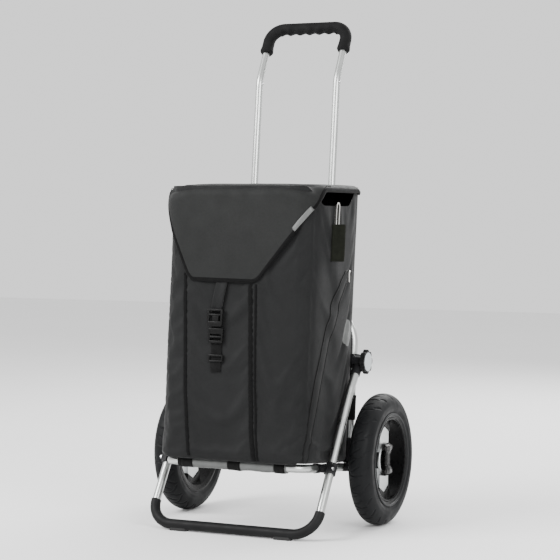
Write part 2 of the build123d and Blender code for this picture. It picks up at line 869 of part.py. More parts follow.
hanger_x = 60.0
hanger_width = 22.0
loop_low_u = 85.0
loop_high_u = 140.0
loop_wall = 2.0
with BuildPart() as bag_hangers:
    for _, side in sides:
        bar = at(0, upper_bar_u)
        face = at(0, upper_bar_u, bag_back_w)
        with BuildSketch(side_plane(side * hanger_x - hanger_width / 2)):
            with Locations((bar.Y, bar.Z)):
                Circle(cross_bar_od / 2 + loop_wall)
            with Locations(Location(((bar.Y + face.Y) / 2, (bar.Z + face.Z) / 2, 0), (0, 0, -lean))):
                Rectangle(bag_back_w, 10.0)
            with Locations((bar.Y, bar.Z)):
                Circle(cross_bar_od / 2, mode=Mode.SUBTRACT)
        extrude(amount=hanger_width)
        with BuildSketch(Plane(origin=at(side * lower_half_span, loop_low_u), z_dir=(0, s_lean, c_lean))):
            Circle(outer_tube_od / 2 + loop_wall)
            Circle(outer_tube_od / 2, mode=Mode.SUBTRACT)
        extrude(amount=loop_high_u - loop_low_u)
write(bag_hangers.part, "bag_hangers")


def on_side(x, points):
    """Closed outline on the bag's flank from (w, u) places."""
    return [(at(0, u, w).Y, at(0, u, w).Z) for w, u in points]


pocket_outline = ((100, 406), (150, 322), (184, 240), (206, 140), (216, 36), (60, 30), (60, 400), (80, 412))
with BuildPart() as side_pocket:
    with BuildSketch(side_plane(bag_half_width)):
        with BuildLine():
            Polyline(*on_side(bag_half_width, pocket_outline), close=True)
        make_face()
        fillet(vertices(), 8.0)
    extrude(amount=trim)
write(side_pocket.part, "side_pocket")

zip_u = 408.0                 # zip slider on the flank
zip_w = 90.0
zip_base = 1.0
zip_pin_od = 2.0
zip_eye_od = 4.0
zip_eye_length = 6.0
zip_cheek = 1.2
zip_pull_length = 24.0
zip_pull_width = 6.0
zip_pull_thick = 1.6
zip_fit = 0.1
zip_face_x = bag_half_width + trim
zip_pin = at(zip_face_x + zip_base + zip_eye_od / 2 + 0.4, zip_u, zip_w)
zip_half = zip_eye_length / 2 + zip_fit
zip_back = Plane(origin=zip_pin, x_dir=(1, 0, 0), z_dir=(0, 1, 0))
with BuildPart() as zip_slider:
    with BuildSketch(side_plane(zip_face_x)):
        with Locations((zip_pin.Y, zip_pin.Z)):
            Rectangle(2 * (zip_half + zip_cheek), zip_eye_od + 4.0)
    extrude(amount=zip_base)
    with BuildSketch(side_plane(zip_face_x)):
        for end in (-1, 1):
            with Locations((zip_pin.Y + end * (zip_half + zip_cheek / 2), zip_pin.Z)):
                Rectangle(zip_cheek, zip_eye_od)
    extrude(amount=zip_pin.X + zip_eye_od / 2 - zip_face_x)
    with BuildSketch(zip_back):
        Circle(zip_pin_od / 2)
    extrude(amount=zip_half + zip_cheek / 2, both=True)
write(zip_slider.part, "zip_slider")

with BuildPart() as zip_pull:
    with BuildSketch(zip_back):
        Circle(zip_eye_od / 2)
    extrude(amount=zip_eye_length / 2, both=True)
    with BuildSketch(side_plane(zip_pin.X - zip_pull_thick / 2)):
        with Locations((zip_pin.Y, zip_pin.Z - zip_pull_length / 2)):
            SlotOverall(zip_pull_length, zip_pull_width, rotation=90)
    extrude(amount=zip_pull_thick)
    with BuildSketch(zip_back):
        Circle(zip_pin_od / 2 + slide_fit)
    extrude(amount=zip_pull_length, both=True, mode=Mode.SUBTRACT)
write(zip_pull.part, "zip_pull")

# --- flap ----------------------------------------------------------------------------------
flap_low = bag_top_z + flap_gap
flap_pin = Vector(0, 0, flap_low + flap_thick / 2)
back_low = at(0, bag_low_u, bag_back_w)
flap_pin.Y = back_low.Y + (flap_pin.Z - back_low.Z) * tan(radians(lean)) - 2.0
flap_corner_x = bag_half_width + 6.0
flap_clear_z = flap_low + 60.0
flap_outline = (
    (flap_hem_left, flap_drop_z),
    (flap_hem_right, flap_drop_z),
    (flap_corner_x, flap_right_z),
    (flap_corner_x, flap_clear_z),
    (-flap_corner_x, flap_clear_z),
    (-flap_corner_x, flap_left_z),
)
skirt_z = bag_top_z - flap_skirt


u_of_top = (bag_top_z - axle_z) / c_lean - bag_depth_high * tan(radians(lean))


def flap_layer(gap, thick, outline, label):
    """Layer of the flap that follows the top, the front and the upper corners of the bag."""
    with BuildPart() as layer:
        add(bag_form(gap + thick, bag_low_u, bag_top_z + gap + thick))
        add(bag_form(gap, bag_low_u - 5.0, bag_top_z + gap), mode=Mode.SUBTRACT)
        with BuildSketch(Plane.XZ):
            with BuildLine():
                Polyline(*outline, close=True)
            make_face()
            fillet(vertices().group_by(Axis.Y)[0], flap_edge_radius)
        extrude(amount=600.0, both=True, mode=Mode.INTERSECT)
        front = at(0, u_of_top, bag_back_w + bag_depth_high - bag_corner)
        with BuildSketch(side_plane(-flap_corner_x - 10.0)):
            with BuildLine():
                Polyline(
                    (flap_pin.Y, skirt_z),
                    (front.Y, skirt_z),
                    (front.Y, flap_drop_z - 60.0),
                    (front.Y - 200.0, flap_drop_z - 60.0),
                    (front.Y - 200.0, flap_clear_z),
                    (flap_pin.Y, flap_clear_z),
                    close=True,
                )
            make_face()
        extrude(amount=2 * flap_corner_x + 20.0, mode=Mode.INTERSECT)
    write(layer.part, label)


flap_layer(flap_gap, flap_thick, flap_outline, "flap_panel")


def front_point(x, z, off):
    """Place on the bag's front face at height z, standing off it."""
    low = at(x, bag_low_u, bag_back_w + bag_depth_low)
    high = at(x, bag_high_u, bag_back_w + bag_depth_high)
    share = (z - low.Z) / (high.Z - low.Z)
    y = low.Y + share * (high.Y - low.Y)
    return Vector(x, y - off / front_cos, z)


front_low = at(0, bag_low_u, bag_back_w + bag_depth_low)
front_high = at(0, bag_high_u, bag_back_w + bag_depth_high)
front_lean = atan2(front_high.Y - front_low.Y, front_high.Z - front_low.Z)
front_cos = cos(front_lean)
front_out = Vector(0, -cos(front_lean), sin(front_lean))


def on_front(x, z, off):
    """Plane flat on the bag's front face, X to the right, Y up."""
    return Plane(origin=front_point(x, z, off), x_dir=(1, 0, 0), z_dir=front_out)


flap_face = flap_gap + flap_thick
strap_top_z = flap_drop_z + strap_lap
strap_end_z = buckle_top_z - strap_lap
with BuildPart() as flap_strap:
    with BuildSketch(on_front(strap_x, (strap_top_z + strap_end_z) / 2, flap_face)):
        Rectangle(strap_width, strap_top_z - strap_end_z)
    extrude(amount=webbing)
    with BuildSketch(on_front(strap_x, buckle_top_z - buckle_height / 2, flap_face - 2.0)):
        RectangleRounded(buckle_width, buckle_height, buckle_corner)
    extrude(amount=buckle_thick)
write(flap_strap.part, "flap_strap")

lock_top_z = buckle_top_z - buckle_height - buckle_gap
lock_low_z = lock_top_z - lock_height
tail_top_z = lock_low_z + strap_lap
with BuildPart() as front_strap:
    with BuildSketch(on_front(strap_x, (lock_top_z + lock_low_z) / 2, 0.0)):
        RectangleRounded(buckle_width, lock_height, buckle_corner)
    extrude(amount=lock_thick)
    with BuildSketch(on_front(strap_x, (tail_top_z + strap_low_z) / 2, 0.0)):
        Rectangle(strap_width, tail_top_z - strap_low_z)
    extrude(amount=webbing)
    with BuildSketch(on_front(strap_x, ladder_z, 0.0)):
        Rectangle(buckle_width, ladder_height)
    extrude(amount=ladder_thick)
write(front_strap.part, "front_strap")

# --- snap hook -----------------------------------------------------------------------------
hook_pin = Vector(bag_half_width + 5.0, axle_y - 143.0, 632.0)
hook_wire = 4.0
hook_height = 78.0
hook_half = 9.0
hook_loop = hook_height * 0.76
hook_lean = Plane(origin=hook_pin, x_dir=(0, c_lean, -s_lean), z_dir=(1, 0, 0))
with BuildPart() as snap_hook:
    with BuildSketch(hook_lean.offset(-hook_wire / 2)):
        with Locations((0, hook_height * 0.62)):
            SlotOverall(hook_loop, 2 * hook_half, rotation=90)
            inner_width = 2 * (hook_half - hook_wire)
            SlotOverall(hook_loop - 2 * hook_wire, inner_width, rotation=90, mode=Mode.SUBTRACT)
        with Locations((-hook_half + hook_wire / 2, hook_height * 0.66)):
            Rectangle(hook_wire * 1.6, hook_height * 0.32, mode=Mode.SUBTRACT)
        with Locations((0, hook_height * 0.14)):
            Rectangle(8.0, hook_height * 0.24)
        Circle(9.0)
        Circle(5.0, mode=Mode.SUBTRACT)
    extrude(amount=hook_wire)
write(snap_hook.part, "snap_hook")

gate_low = hook_height * 0.50 + 0.4
gate_high = hook_height * 0.82 - 0.4
gate_pin = hook_lean.from_local_coords(Vector(-hook_half + hook_wire / 2, gate_low + hook_wire / 2, 0))
with BuildPart() as hook_gate:
    with BuildSketch(hook_lean.offset(-hook_wire / 2 + 0.4)):
        with Locations((-hook_half + hook_wire / 2, (gate_low + gate_high) / 2)):
            SlotOverall(gate_high - gate_low, hook_wire - 0.8, rotation=90)
    extrude(amount=hook_wire - 0.8)
write(hook_gate.part, "hook_gate")

print("handle slides", handle_travel, "legs turn", round(leg_turn, 3), "clamps slide", round(clamp_travel, 3))
print("gate pin", gate_pin)
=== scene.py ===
import json
from math import cos, exp, hypot, pi, radians, sin, sqrt, tan

import bpy
from mathutils import Matrix, Vector, noise
from mathutils.bvhtree import BVHTree

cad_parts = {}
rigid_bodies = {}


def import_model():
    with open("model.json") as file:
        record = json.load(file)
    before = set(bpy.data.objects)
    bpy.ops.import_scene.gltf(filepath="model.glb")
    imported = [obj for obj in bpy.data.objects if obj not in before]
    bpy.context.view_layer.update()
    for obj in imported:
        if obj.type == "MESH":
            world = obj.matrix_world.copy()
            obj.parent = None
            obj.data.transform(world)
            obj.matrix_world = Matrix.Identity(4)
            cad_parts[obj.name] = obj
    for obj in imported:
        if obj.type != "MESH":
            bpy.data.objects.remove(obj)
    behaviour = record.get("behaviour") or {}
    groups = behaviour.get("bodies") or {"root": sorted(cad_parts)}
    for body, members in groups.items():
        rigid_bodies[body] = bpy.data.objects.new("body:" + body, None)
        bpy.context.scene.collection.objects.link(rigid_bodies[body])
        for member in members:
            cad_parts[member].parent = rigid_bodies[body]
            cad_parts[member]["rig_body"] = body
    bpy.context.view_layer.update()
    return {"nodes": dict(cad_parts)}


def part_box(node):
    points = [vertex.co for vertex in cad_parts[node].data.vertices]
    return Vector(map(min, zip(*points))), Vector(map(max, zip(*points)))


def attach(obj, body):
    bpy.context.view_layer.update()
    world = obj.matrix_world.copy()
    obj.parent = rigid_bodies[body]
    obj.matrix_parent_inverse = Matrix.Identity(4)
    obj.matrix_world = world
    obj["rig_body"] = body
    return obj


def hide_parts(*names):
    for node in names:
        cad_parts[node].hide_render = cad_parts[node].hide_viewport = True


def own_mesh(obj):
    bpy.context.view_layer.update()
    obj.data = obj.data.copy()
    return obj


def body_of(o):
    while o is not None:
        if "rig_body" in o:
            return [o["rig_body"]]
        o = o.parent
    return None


# Wheeled shopping hand truck: materials for the CAD frame, and the soft goods, tyres, grip and
# trim around it.  Places are worked out in millimetres from the frame and returned in metres.

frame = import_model()
nodes = frame["nodes"]
MM = 0.001
SIDES = (("left", -1), ("right", 1))


def span(node):
    """Lowest and highest corner of a CAD node, in millimetres."""
    low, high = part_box(node)
    return Vector(low) / MM, Vector(high) / MM


# --- places taken from the frame -----------------------------------------------------------
axle_low, axle_high = span("axle")
tyre_low, tyre_high = span("tyre_right")
AXLE_Y = (axle_low.y + axle_high.y) / 2
AXLE_Z = (axle_low.z + axle_high.z) / 2
WHEEL_X = (tyre_low.x + tyre_high.x) / 2
WHEEL_R = (tyre_high.y - tyre_low.y) / 2
TYRE_R = (tyre_high.x - tyre_low.x) / 2
LEAN = radians(5.9)
TUBE_SET = 21.8
BAG_HALF = span("bag_shell")[1].x
BAG_TOP = span("bag_shell")[1].z
BAG_BACK = 12.0
BAG_LOW_U = -8.7
BAG_HIGH_U = (BAG_TOP + 40.0 - AXLE_Z) / cos(LEAN)
DEPTH_LOW = 250.0
DEPTH_HIGH = 262.0
CORNER = 40.0
EDGE = 16.0
CORNER_PULL = 7.5
FLAP_DROP = span("flap_panel")[0].z


def at(x, u, w=0.0):
    """Point u up along the outer tubes from axle level and w in front of them."""
    y = AXLE_Y - TUBE_SET + u * sin(LEAN) - w * cos(LEAN)
    z = AXLE_Z + u * cos(LEAN) + w * sin(LEAN)
    return Vector((x, y, z)) * MM


def u_at(z, w):
    """The u of the point at height z and distance w in front of the tubes."""
    return (z - AXLE_Z - w * sin(LEAN)) / cos(LEAN)


# --- mesh helpers --------------------------------------------------------------------------
def mesh(name, verts, faces, body, mat, smooth=True):
    data = bpy.data.meshes.new(name)
    data.from_pydata([tuple(v) for v in verts], [], faces)
    data.validate()
    data.update()
    obj = bpy.data.objects.new(name, data)
    bpy.context.scene.collection.objects.link(obj)
    for polygon in data.polygons:
        polygon.use_smooth = smooth
    data.materials.append(mat)
    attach(obj, body)
    return obj


def quads(rows, around=False, ends=False):
    """Faces of a grid whose rows have the same number of points."""
    n = len(rows[0])
    faces = []
    for i in range(len(rows) - 1):
        for j in range(n if around else n - 1):
            k = (j + 1) % n
            faces.append((i * n + j, i * n + k, (i + 1) * n + k, (i + 1) * n + j))
    if ends:
        faces.append(tuple(reversed(range(n))))
        last = (len(rows) - 1) * n
        faces.append(tuple(last + j for j in range(n)))
    return faces


def grid(name, rows, body, mat, around=False, ends=False):
    verts = [p for row in rows for p in row]
    return mesh(name, verts, quads(rows, around, ends), body, mat)


def tangents(points):
    out = []
    for i in range(len(points)):
        a = points[max(i - 1, 0)]
        b = points[min(i + 1, len(points) - 1)]
        out.append((b - a).normalized())
    return out


def sweep(name, points, section, body, mat, up=Vector((0, 0, 1)), closed=False):
    """Closed section, given by section(i) as (side, up) pairs in mm, carried along points."""
    rows = []
    count = len(points)
    for i, (p, t) in enumerate(zip(points, tangents(points))):
        if closed:
            t = (points[(i + 1) % count] - points[i - 1]).normalized()
        normal = up[i] if isinstance(up, list) else up
        side = t.cross(normal).normalized()
        top = side.cross(t).normalized()
        rows.append([p + side * a * MM + top * b * MM for a, b in section(i)])
    if closed:
        rows.append(rows[0])
    return grid(name, rows, body, mat, around=True, ends=not closed)


def oval(half_a, half_b, n=12):
    return [(half_a * cos(2 * pi * k / n), half_b * sin(2 * pi * k / n)) for k in range(n)]


def tape(half_width, thick):
    """Flat strap section with rounded edges."""
    e = thick / 2
    right = [(half_width - e + e * sin(a), e * cos(a)) for a in (0.0, pi / 4, pi / 2, 3 * pi / 4, pi)]
    left = [(-x, y) for x, y in reversed(right)]
    return right + left


def modify(obj, kind, **settings):
    m = obj.modifiers.new(kind.lower(), kind)
    for key, value in settings.items():
        setattr(m, key, value)
    return m


def apply_modifiers(obj):
    """Gives the object the mesh that its modifiers make."""
    depsgraph = bpy.context.evaluated_depsgraph_get()
    done = bpy.data.meshes.new_from_object(obj.evaluated_get(depsgraph))
    obj.modifiers.clear()
    obj.data = done
    for polygon in done.polygons:
        polygon.use_smooth = True


def rounded_block(name, centre, size, bevel, body, mat, turn):
    """Moulded block: a box with rounded edges, size in mm, turned by a matrix."""
    half = Vector(size) / 2
    corners = [Vector((x, y, z)) for x in (-1, 1) for y in (-1, 1) for z in (-1, 1)]
    verts = [Vector((c.x * half.x, c.y * half.y, c.z * half.z)) * MM for c in corners]
    verts = [turn @ v + centre for v in verts]
    faces = [(0, 1, 3, 2), (4, 6, 7, 5), (0, 4, 5, 1), (2, 3, 7, 6), (0, 2, 6, 4), (1, 5, 7, 3)]
    obj = mesh(name, verts, faces, body, mat)
    modify(obj, "BEVEL", width=bevel * MM, segments=4, limit_method="NONE")
    apply_modifiers(obj)
    return obj


def smooth_step(t):
    t = min(max(t, 0.0), 1.0)
    return t * t * (3 - 2 * t)


def bump_noise(x, y, z=0.0):
    return noise.noise(Vector((x, y, z)))


# --- materials -----------------------------------------------------------------------------
class Nodes:
    """Small builder for a principled material with bump and colour detail."""

    def __init__(self, name, color, rough, metallic=0.0, gloss=0.5):
        self.mat = bpy.data.materials.new(name)
        self.mat.use_nodes = True
        self.tree = self.mat.node_tree
        self.bsdf = self.tree.nodes["Principled BSDF"]
        self.bsdf.inputs["Base Color"].default_value = (*color, 1)
        self.bsdf.inputs["Roughness"].default_value = rough
        self.bsdf.inputs["Metallic"].default_value = metallic
        self.bsdf.inputs["Specular IOR Level"].default_value = gloss
        coords = self.tree.nodes.new("ShaderNodeTexCoord")
        self.coords = coords.outputs["Object"]
        self.normal = None

    def node(self, kind, **inputs):
        n = self.tree.nodes.new(kind)
        for key, value in inputs.items():
            socket = n.inputs[key.replace("_", " ")]
            if hasattr(value, "is_output"):
                self.tree.links.new(value, socket)
            else:
                socket.default_value = value
        return n

    def noise(self, scale, detail=3.0, stretch=(1, 1, 1)):
        mapping = self.node("ShaderNodeMapping", Vector=self.coords, Scale=stretch)
        texture = self.node("ShaderNodeTexNoise", Vector=mapping.outputs[0], Scale=scale, Detail=detail)
        return texture.outputs[0]

    def wave(self, scale, direction, distortion=0.0):
        n = self.node("ShaderNodeTexWave", Vector=self.coords, Scale=scale, Distortion=distortion)
        n.bands_direction = direction
        return n.outputs["Fac"]

    def voronoi(self, scale):
        return self.node("ShaderNodeTexVoronoi", Vector=self.coords, Scale=scale).outputs["Distance"]

    def math(self, operation, a, b):
        n = self.tree.nodes.new("ShaderNodeMath")
        n.operation = operation
        for socket, value in zip(n.inputs, (a, b)):
            if hasattr(value, "is_output"):
                self.tree.links.new(value, socket)
            else:
                socket.default_value = value
        return n.outputs[0]

    def bump(self, height, strength, distance):
        n = self.node("ShaderNodeBump", Height=height, Strength=strength, Distance=distance)
        if self.normal is not None:
            self.tree.links.new(self.normal, n.inputs["Normal"])
        self.normal = n.outputs[0]
        self.tree.links.new(self.normal, self.bsdf.inputs["Normal"])

    def mix_in(self, share, other):
        """Mixes the base colour towards another by the value of a socket."""
        mix = self.tree.nodes.new("ShaderNodeMix")
        mix.data_type = "RGBA"
        current = self.bsdf.inputs["Base Color"]
        self.tree.links.new(share, mix.inputs[0])
        if current.is_linked:
            self.tree.links.new(current.links[0].from_socket, mix.inputs[6])
        else:
            mix.inputs[6].default_value = current.default_value
        mix.inputs[7].default_value = (*other, 1)
        self.tree.links.new(mix.outputs[2], current)

    def vary_color(self, factor, other, amount=1.0):
        """Mixes the colour towards another by a 0 to 1 factor."""
        ramp = self.node("ShaderNodeMapRange", Value=factor)
        ramp.inputs["From Min"].default_value = 0.35
        ramp.inputs["From Max"].default_value = 0.65
        ramp.inputs["To Max"].default_value = amount
        self.mix_in(ramp.outputs[0], other)

    def vary_rough(self, factor, low, high):
        ramp = self.node("ShaderNodeMapRange", Value=factor)
        ramp.inputs["From Min"].default_value = 0.3
        ramp.inputs["From Max"].default_value = 0.7
        ramp.inputs["To Min"].default_value = low
        ramp.inputs["To Max"].default_value = high
        self.tree.links.new(ramp.outputs[0], self.bsdf.inputs["Roughness"])

    def edge_wear(self, color, amount):
        """Lighter worn edges, from how pointed the surface is."""
        geometry = self.tree.nodes.new("ShaderNodeNewGeometry")
        wear = self.node("ShaderNodeMapRange", Value=geometry.outputs["Pointiness"])
        wear.inputs["From Min"].default_value = 0.52
        wear.inputs["From Max"].default_value = 0.60
        wear.inputs["To Max"].default_value = amount
        self.mix_in(wear.outputs[0], color)


def tube_metal():
    n = Nodes("satin_aluminium", (0.50, 0.51, 0.50), 0.30, 1.0)
    n.vary_color(n.noise(14.0), (0.44, 0.45, 0.44), 0.5)
    n.vary_rough(n.noise(60.0, stretch=(1, 1, 0.1)), 0.26, 0.38)
    n.bump(n.noise(900.0, 2.0, (1, 1, 0.15)), 0.10, 0.0002)
    return n.mat


def rod_metal():
    n = Nodes("zinc_steel", (0.55, 0.56, 0.57), 0.30, 1.0)
    n.vary_color(n.noise(40.0), (0.42, 0.42, 0.42), 0.6)
    n.bump(n.noise(700.0), 0.12, 0.0002)
    return n.mat


def moulded(name, color, rough, grain=1500.0, depth=0.25, gloss=0.10):
    n = Nodes(name, color, rough, gloss=gloss)
    n.vary_color(n.noise(25.0), tuple(c * 1.5 + 0.0005 for c in color), 0.6)
    n.vary_rough(n.noise(90.0), rough - 0.08, rough + 0.1)
    n.edge_wear(tuple(c * 3.0 + 0.002 for c in color), 0.5)
    n.bump(n.noise(grain, 2.0), depth, 0.0002)
    return n.mat


def foam():
    n = Nodes("foam_grip", (0.005, 0.005, 0.0052), 0.70, gloss=0.08)
    n.vary_color(n.noise(60.0), (0.009, 0.009, 0.0092), 0.7)
    n.bump(n.noise(60.0), 0.15, 0.001)
    n.bump(n.voronoi(900.0), 0.35, 0.0003)
    return n.mat


def tyre_rubber():
    n = Nodes("tyre_rubber", (0.0035, 0.0038, 0.0043), 0.42, gloss=0.12)
    n.vary_color(n.noise(9.0), (0.0055, 0.0058, 0.0064), 0.8)
    n.vary_rough(n.noise(45.0), 0.42, 0.62)
    n.edge_wear((0.010, 0.010, 0.0105), 0.4)
    n.bump(n.noise(1100.0), 0.2, 0.0002)
    return n.mat


def cloth(name, color, light, rough=0.62):
    n = Nodes(name, color, rough, gloss=0.10)
    n.bsdf.inputs["Sheen Weight"].default_value = 0.05
    n.bsdf.inputs["Sheen Roughness"].default_value = 0.45
    n.vary_color(n.noise(5.0, 4.0), light, 0.55)
    n.vary_color(n.noise(260.0, 2.0), tuple(c * 0.8 for c in color), 0.5)
    n.vary_rough(n.noise(30.0), rough - 0.07, rough + 0.08)
    n.bump(n.noise(22.0, 4.0), 0.25, 0.002)
    weave = n.math("ADD", n.wave(520.0, "X"), n.wave(520.0, "Z"))
    n.bump(weave, 0.16, 0.0003)
    n.bump(n.noise(1300.0, 2.0), 0.18, 0.0003)
    return n.mat


def webbing(name, color, light):
    n = Nodes(name, color, 0.72, gloss=0.06)
    n.bsdf.inputs["Sheen Weight"].default_value = 0.04
    n.vary_color(n.noise(120.0), light, 0.7)
    n.bump(n.wave(330.0, "DIAGONAL"), 0.5, 0.0004)
    n.bump(n.wave(420.0, "Z"), 0.4, 0.0003)
    return n.mat


def reflective():
    n = Nodes("reflective_cloth", (0.105, 0.108, 0.106), 0.42, 0.2, 0.3)
    n.vary_color(n.noise(30.0), (0.070, 0.072, 0.070), 0.7)
    n.bump(n.voronoi(700.0), 0.3, 0.0002)
    return n.mat


def lacquer():
    n = Nodes("silver_lacquer", (0.60, 0.62, 0.62), 0.32, 0.85)
    n.vary_color(n.noise(20.0), (0.50, 0.52, 0.52), 0.6)
    n.bump(n.noise(1400.0), 0.1, 0.0002)
    return n.mat


def chrome():
    n = Nodes("bright_plating", (0.80, 0.79, 0.76), 0.16, 1.0)
    n.vary_color(n.noise(80.0), (0.62, 0.61, 0.58), 0.5)
    n.bump(n.noise(500.0), 0.1, 0.0002)
    return n.mat


def floor_paint():
    n = Nodes("pale_floor", (0.86, 0.86, 0.86), 0.75)
    n.vary_color(n.noise(2.0), (0.84, 0.84, 0.84), 0.5)
    return n.mat


M = {
    "tube": tube_metal(),
    "rod": rod_metal(),
    "casting": moulded("black_casting", (0.006, 0.006, 0.0065), 0.45),
    "knob": moulded("knob_plastic", (0.007, 0.007, 0.007), 0.42),
    "grey": moulded("knob_grey", (0.26, 0.275, 0.28), 0.38, 900.0, 0.1),
    "foot": moulded("foot_plastic", (0.007, 0.007, 0.0072), 0.50),
    "pad": moulded("pad_rubber", (0.012, 0.012, 0.012), 0.7, 700.0, 0.4),
    "bush": moulded("bush_plastic", (0.03, 0.03, 0.03), 0.5),
    "rim": moulded("rim_plastic", (0.0012, 0.0012, 0.0013), 0.30),
    "ring": moulded("rim_ring", (0.012, 0.0125, 0.013), 0.34),
    "board": moulded("base_board", (0.02, 0.02, 0.02), 0.6),
    "buckle": moulded("buckle_plastic", (0.0035, 0.0035, 0.0035), 0.28),
    "foam": foam(),
    "tyre": tyre_rubber(),
    "cloth": cloth("coated_cloth", (0.0075, 0.0077, 0.0079), (0.0100, 0.0102, 0.0104)),
    # Flap cloth: the same coated cloth as the bag, painted lighter and warmer, as painted light falling on
    # the top from above.
    "flap": cloth("flap_cloth_painted_light", (0.0105, 0.0110, 0.0108), (0.0140, 0.0143, 0.0141)),
    "binding": webbing("binding_tape", (0.0016, 0.0016, 0.0017), (0.003, 0.003, 0.003)),
    "webbing": webbing("black_webbing", (0.003, 0.003, 0.003), (0.006, 0.006, 0.006)),
    "olive": webbing("olive_webbing", (0.005, 0.0056, 0.0035), (0.009, 0.010, 0.0065)),
    "reflect": reflective(),
    "lacquer": lacquer(),
    "cap": moulded("hub_cap_black", (0.0015, 0.0015, 0.0016), 0.26, gloss=0.25),
    "chrome": chrome(),
    "zip": moulded("zip_tape", (0.0018, 0.0018, 0.0018), 0.42),
}

NODE_LOOKS = {
    "tube": ["outer_tube_left", "outer_tube_right", "cross_bar_upper", "cross_bar_lower", "handle_tube",
             "stand_tube", "platform_tube"],
    "rod": ["axle", "hinge_pins", "snap_button_left", "snap_button_right", "clamp_bolt_left",
            "clamp_bolt_right", "knob_stud_left", "knob_stud_right", "wheel_bearing_left",
            "wheel_bearing_right"],
    "casting": ["axle_casting_left", "axle_casting_right", "pivot_bracket_left", "pivot_bracket_right",
                "stand_knuckle_left", "stand_knuckle_right", "hinge_eye_left", "hinge_eye_right",
                "arm_collar_left", "arm_collar_right", "leg_clamp_left", "leg_clamp_right"],
    "knob": ["clamp_knob_left", "clamp_knob_right"],
    "grey": ["knob_face_left", "knob_face_right"],
    "foot": ["foot_sleeve"],
    "pad": ["foot_pads"],
    "bush": ["tube_bushes"],
    "rim": ["rim_left", "rim_right", "hub_left", "hub_right"],
    "webbing": ["bag_hangers"],
    "lacquer": ["spokes_left", "spokes_right"],
    "chrome": ["snap_hook", "hook_gate", "zip_pull", "zip_slider"],
}


def dress_frame():
    """Gives each carried-over CAD node its material."""
    for look, names in NODE_LOOKS.items():
        for name in names:
            obj = nodes[name]
            for holder in obj.material_slots:
                holder.link = "OBJECT"
                holder.material = M[look]


# --- bag -----------------------------------------------------------------------------------
FLAT = BAG_HALF - CORNER
ARC = CORNER * pi / 2
SIDE_NOMINAL = DEPTH_HIGH - 2 * CORNER
RIGHT_CORNER = FLAT + ARC
BACK_CORNER = RIGHT_CORNER + SIDE_NOMINAL
HALF_ROUND = BACK_CORNER + ARC + FLAT


def round_p(k, count):
    """The p of step k of count round the bag, from the middle of its back."""
    return -HALF_ROUND + 2 * HALF_ROUND * k / count


def bag_depth(u):
    share = (u - BAG_LOW_U) / (BAG_HIGH_U - BAG_LOW_U)
    return DEPTH_LOW + share * (DEPTH_HIGH - DEPTH_LOW)


def bag_section(p, u, inset=0.0):
    """(x, w) and outward normal at p along the section from its front middle."""
    side = 1 if p >= 0 else -1
    q = abs(p)
    front = BAG_BACK + bag_depth(u)
    straight = bag_depth(u) - 2 * CORNER
    if q <= FLAT:
        x, w, nx, nw = q, front, 0.0, 1.0
    elif q <= RIGHT_CORNER:
        a = (q - FLAT) / CORNER
        x, w, nx, nw = FLAT + CORNER * sin(a), front - CORNER + CORNER * cos(a), sin(a), cos(a)
    elif q <= BACK_CORNER:
        t = (q - RIGHT_CORNER) / SIDE_NOMINAL
        x, w, nx, nw = BAG_HALF, front - CORNER - t * straight, 1.0, 0.0
    elif q <= BACK_CORNER + ARC:
        a = (q - BACK_CORNER) / CORNER
        x, w, nx, nw = FLAT + CORNER * cos(a), BAG_BACK + CORNER - CORNER * sin(a), cos(a), -sin(a)
    else:
        x, w, nx, nw = FLAT - (q - BACK_CORNER - ARC), BAG_BACK, 0.0, -1.0
    return side * (x - nx * inset), w - nw * inset, side * nx, nw


def bag_point(p, u, off=0.0):
    x, w, nx, nw = bag_section(p, u)
    return at(x + nx * off, u, w + nw * off)


def bag_normal(p, u):
    _, _, nx, nw = bag_section(p, u)
    return (at(nx, 0, nw) - at(0, 0, 0)).normalized()


def fullness(p, u):
    """How far the filled cloth stands out or sinks in, in mm, without its creases."""
    q = abs(p)
    h = (u - BAG_LOW_U) / (BAG_HIGH_U - 40 - BAG_LOW_U)
    tall = sin(pi * min(max(h, 0.0), 1.0)) ** 0.6
    drawn_in = CORNER_PULL * exp(-((q - FLAT - ARC / 2) / 32.0) ** 2)
    if q <= RIGHT_CORNER:
        front = 3.2 * tall * cos(pi * q / 2 / RIGHT_CORNER) - 1.0 * tall * smooth_step((q - FLAT) / ARC)
        return front - drawn_in
    if q <= BACK_CORNER:
        t = (q - RIGHT_CORNER) / SIDE_NOMINAL
        return -1.0 * tall + 0.8 * tall * sin(pi * t) - drawn_in
    return -1.6


def creases(p, u):
    """Soft folds and puckers of the cloth, in mm."""
    h = (u - BAG_LOW_U) / 600.0
    soft = 1.1 * bump_noise(p / 95.0, u / 160.0, 3.1) + 0.5 * bump_noise(p / 34.0, u / 60.0, 7.7)
    low = exp(-h * 7.0) * 1.6 * bump_noise(p / 26.0, u / 40.0, 1.3)
    pull = 0.9 * exp(-((p - BAND_MID) / 30.0) ** 2) * sin(u / 19.0) * exp(-((u - 60.0) / 70.0) ** 2)
    return soft + low + pull


BAR_FRONT = 246.0
GAPE_START, GAPE_END = 150.0, 330.0
GAPE_DROP = 42.0
SAG = 6.5
BAND_MID, BAND_LEFT = 52.0, -104.0


def rim_height(p):
    """Height of the bag's mouth, which gapes below the flap at the right front corner."""
    gape = smooth_step((p - GAPE_START) / 60.0) * (1.0 - smooth_step((p - GAPE_END) / 60.0))
    return BAG_TOP - 0.4 - GAPE_DROP * gape


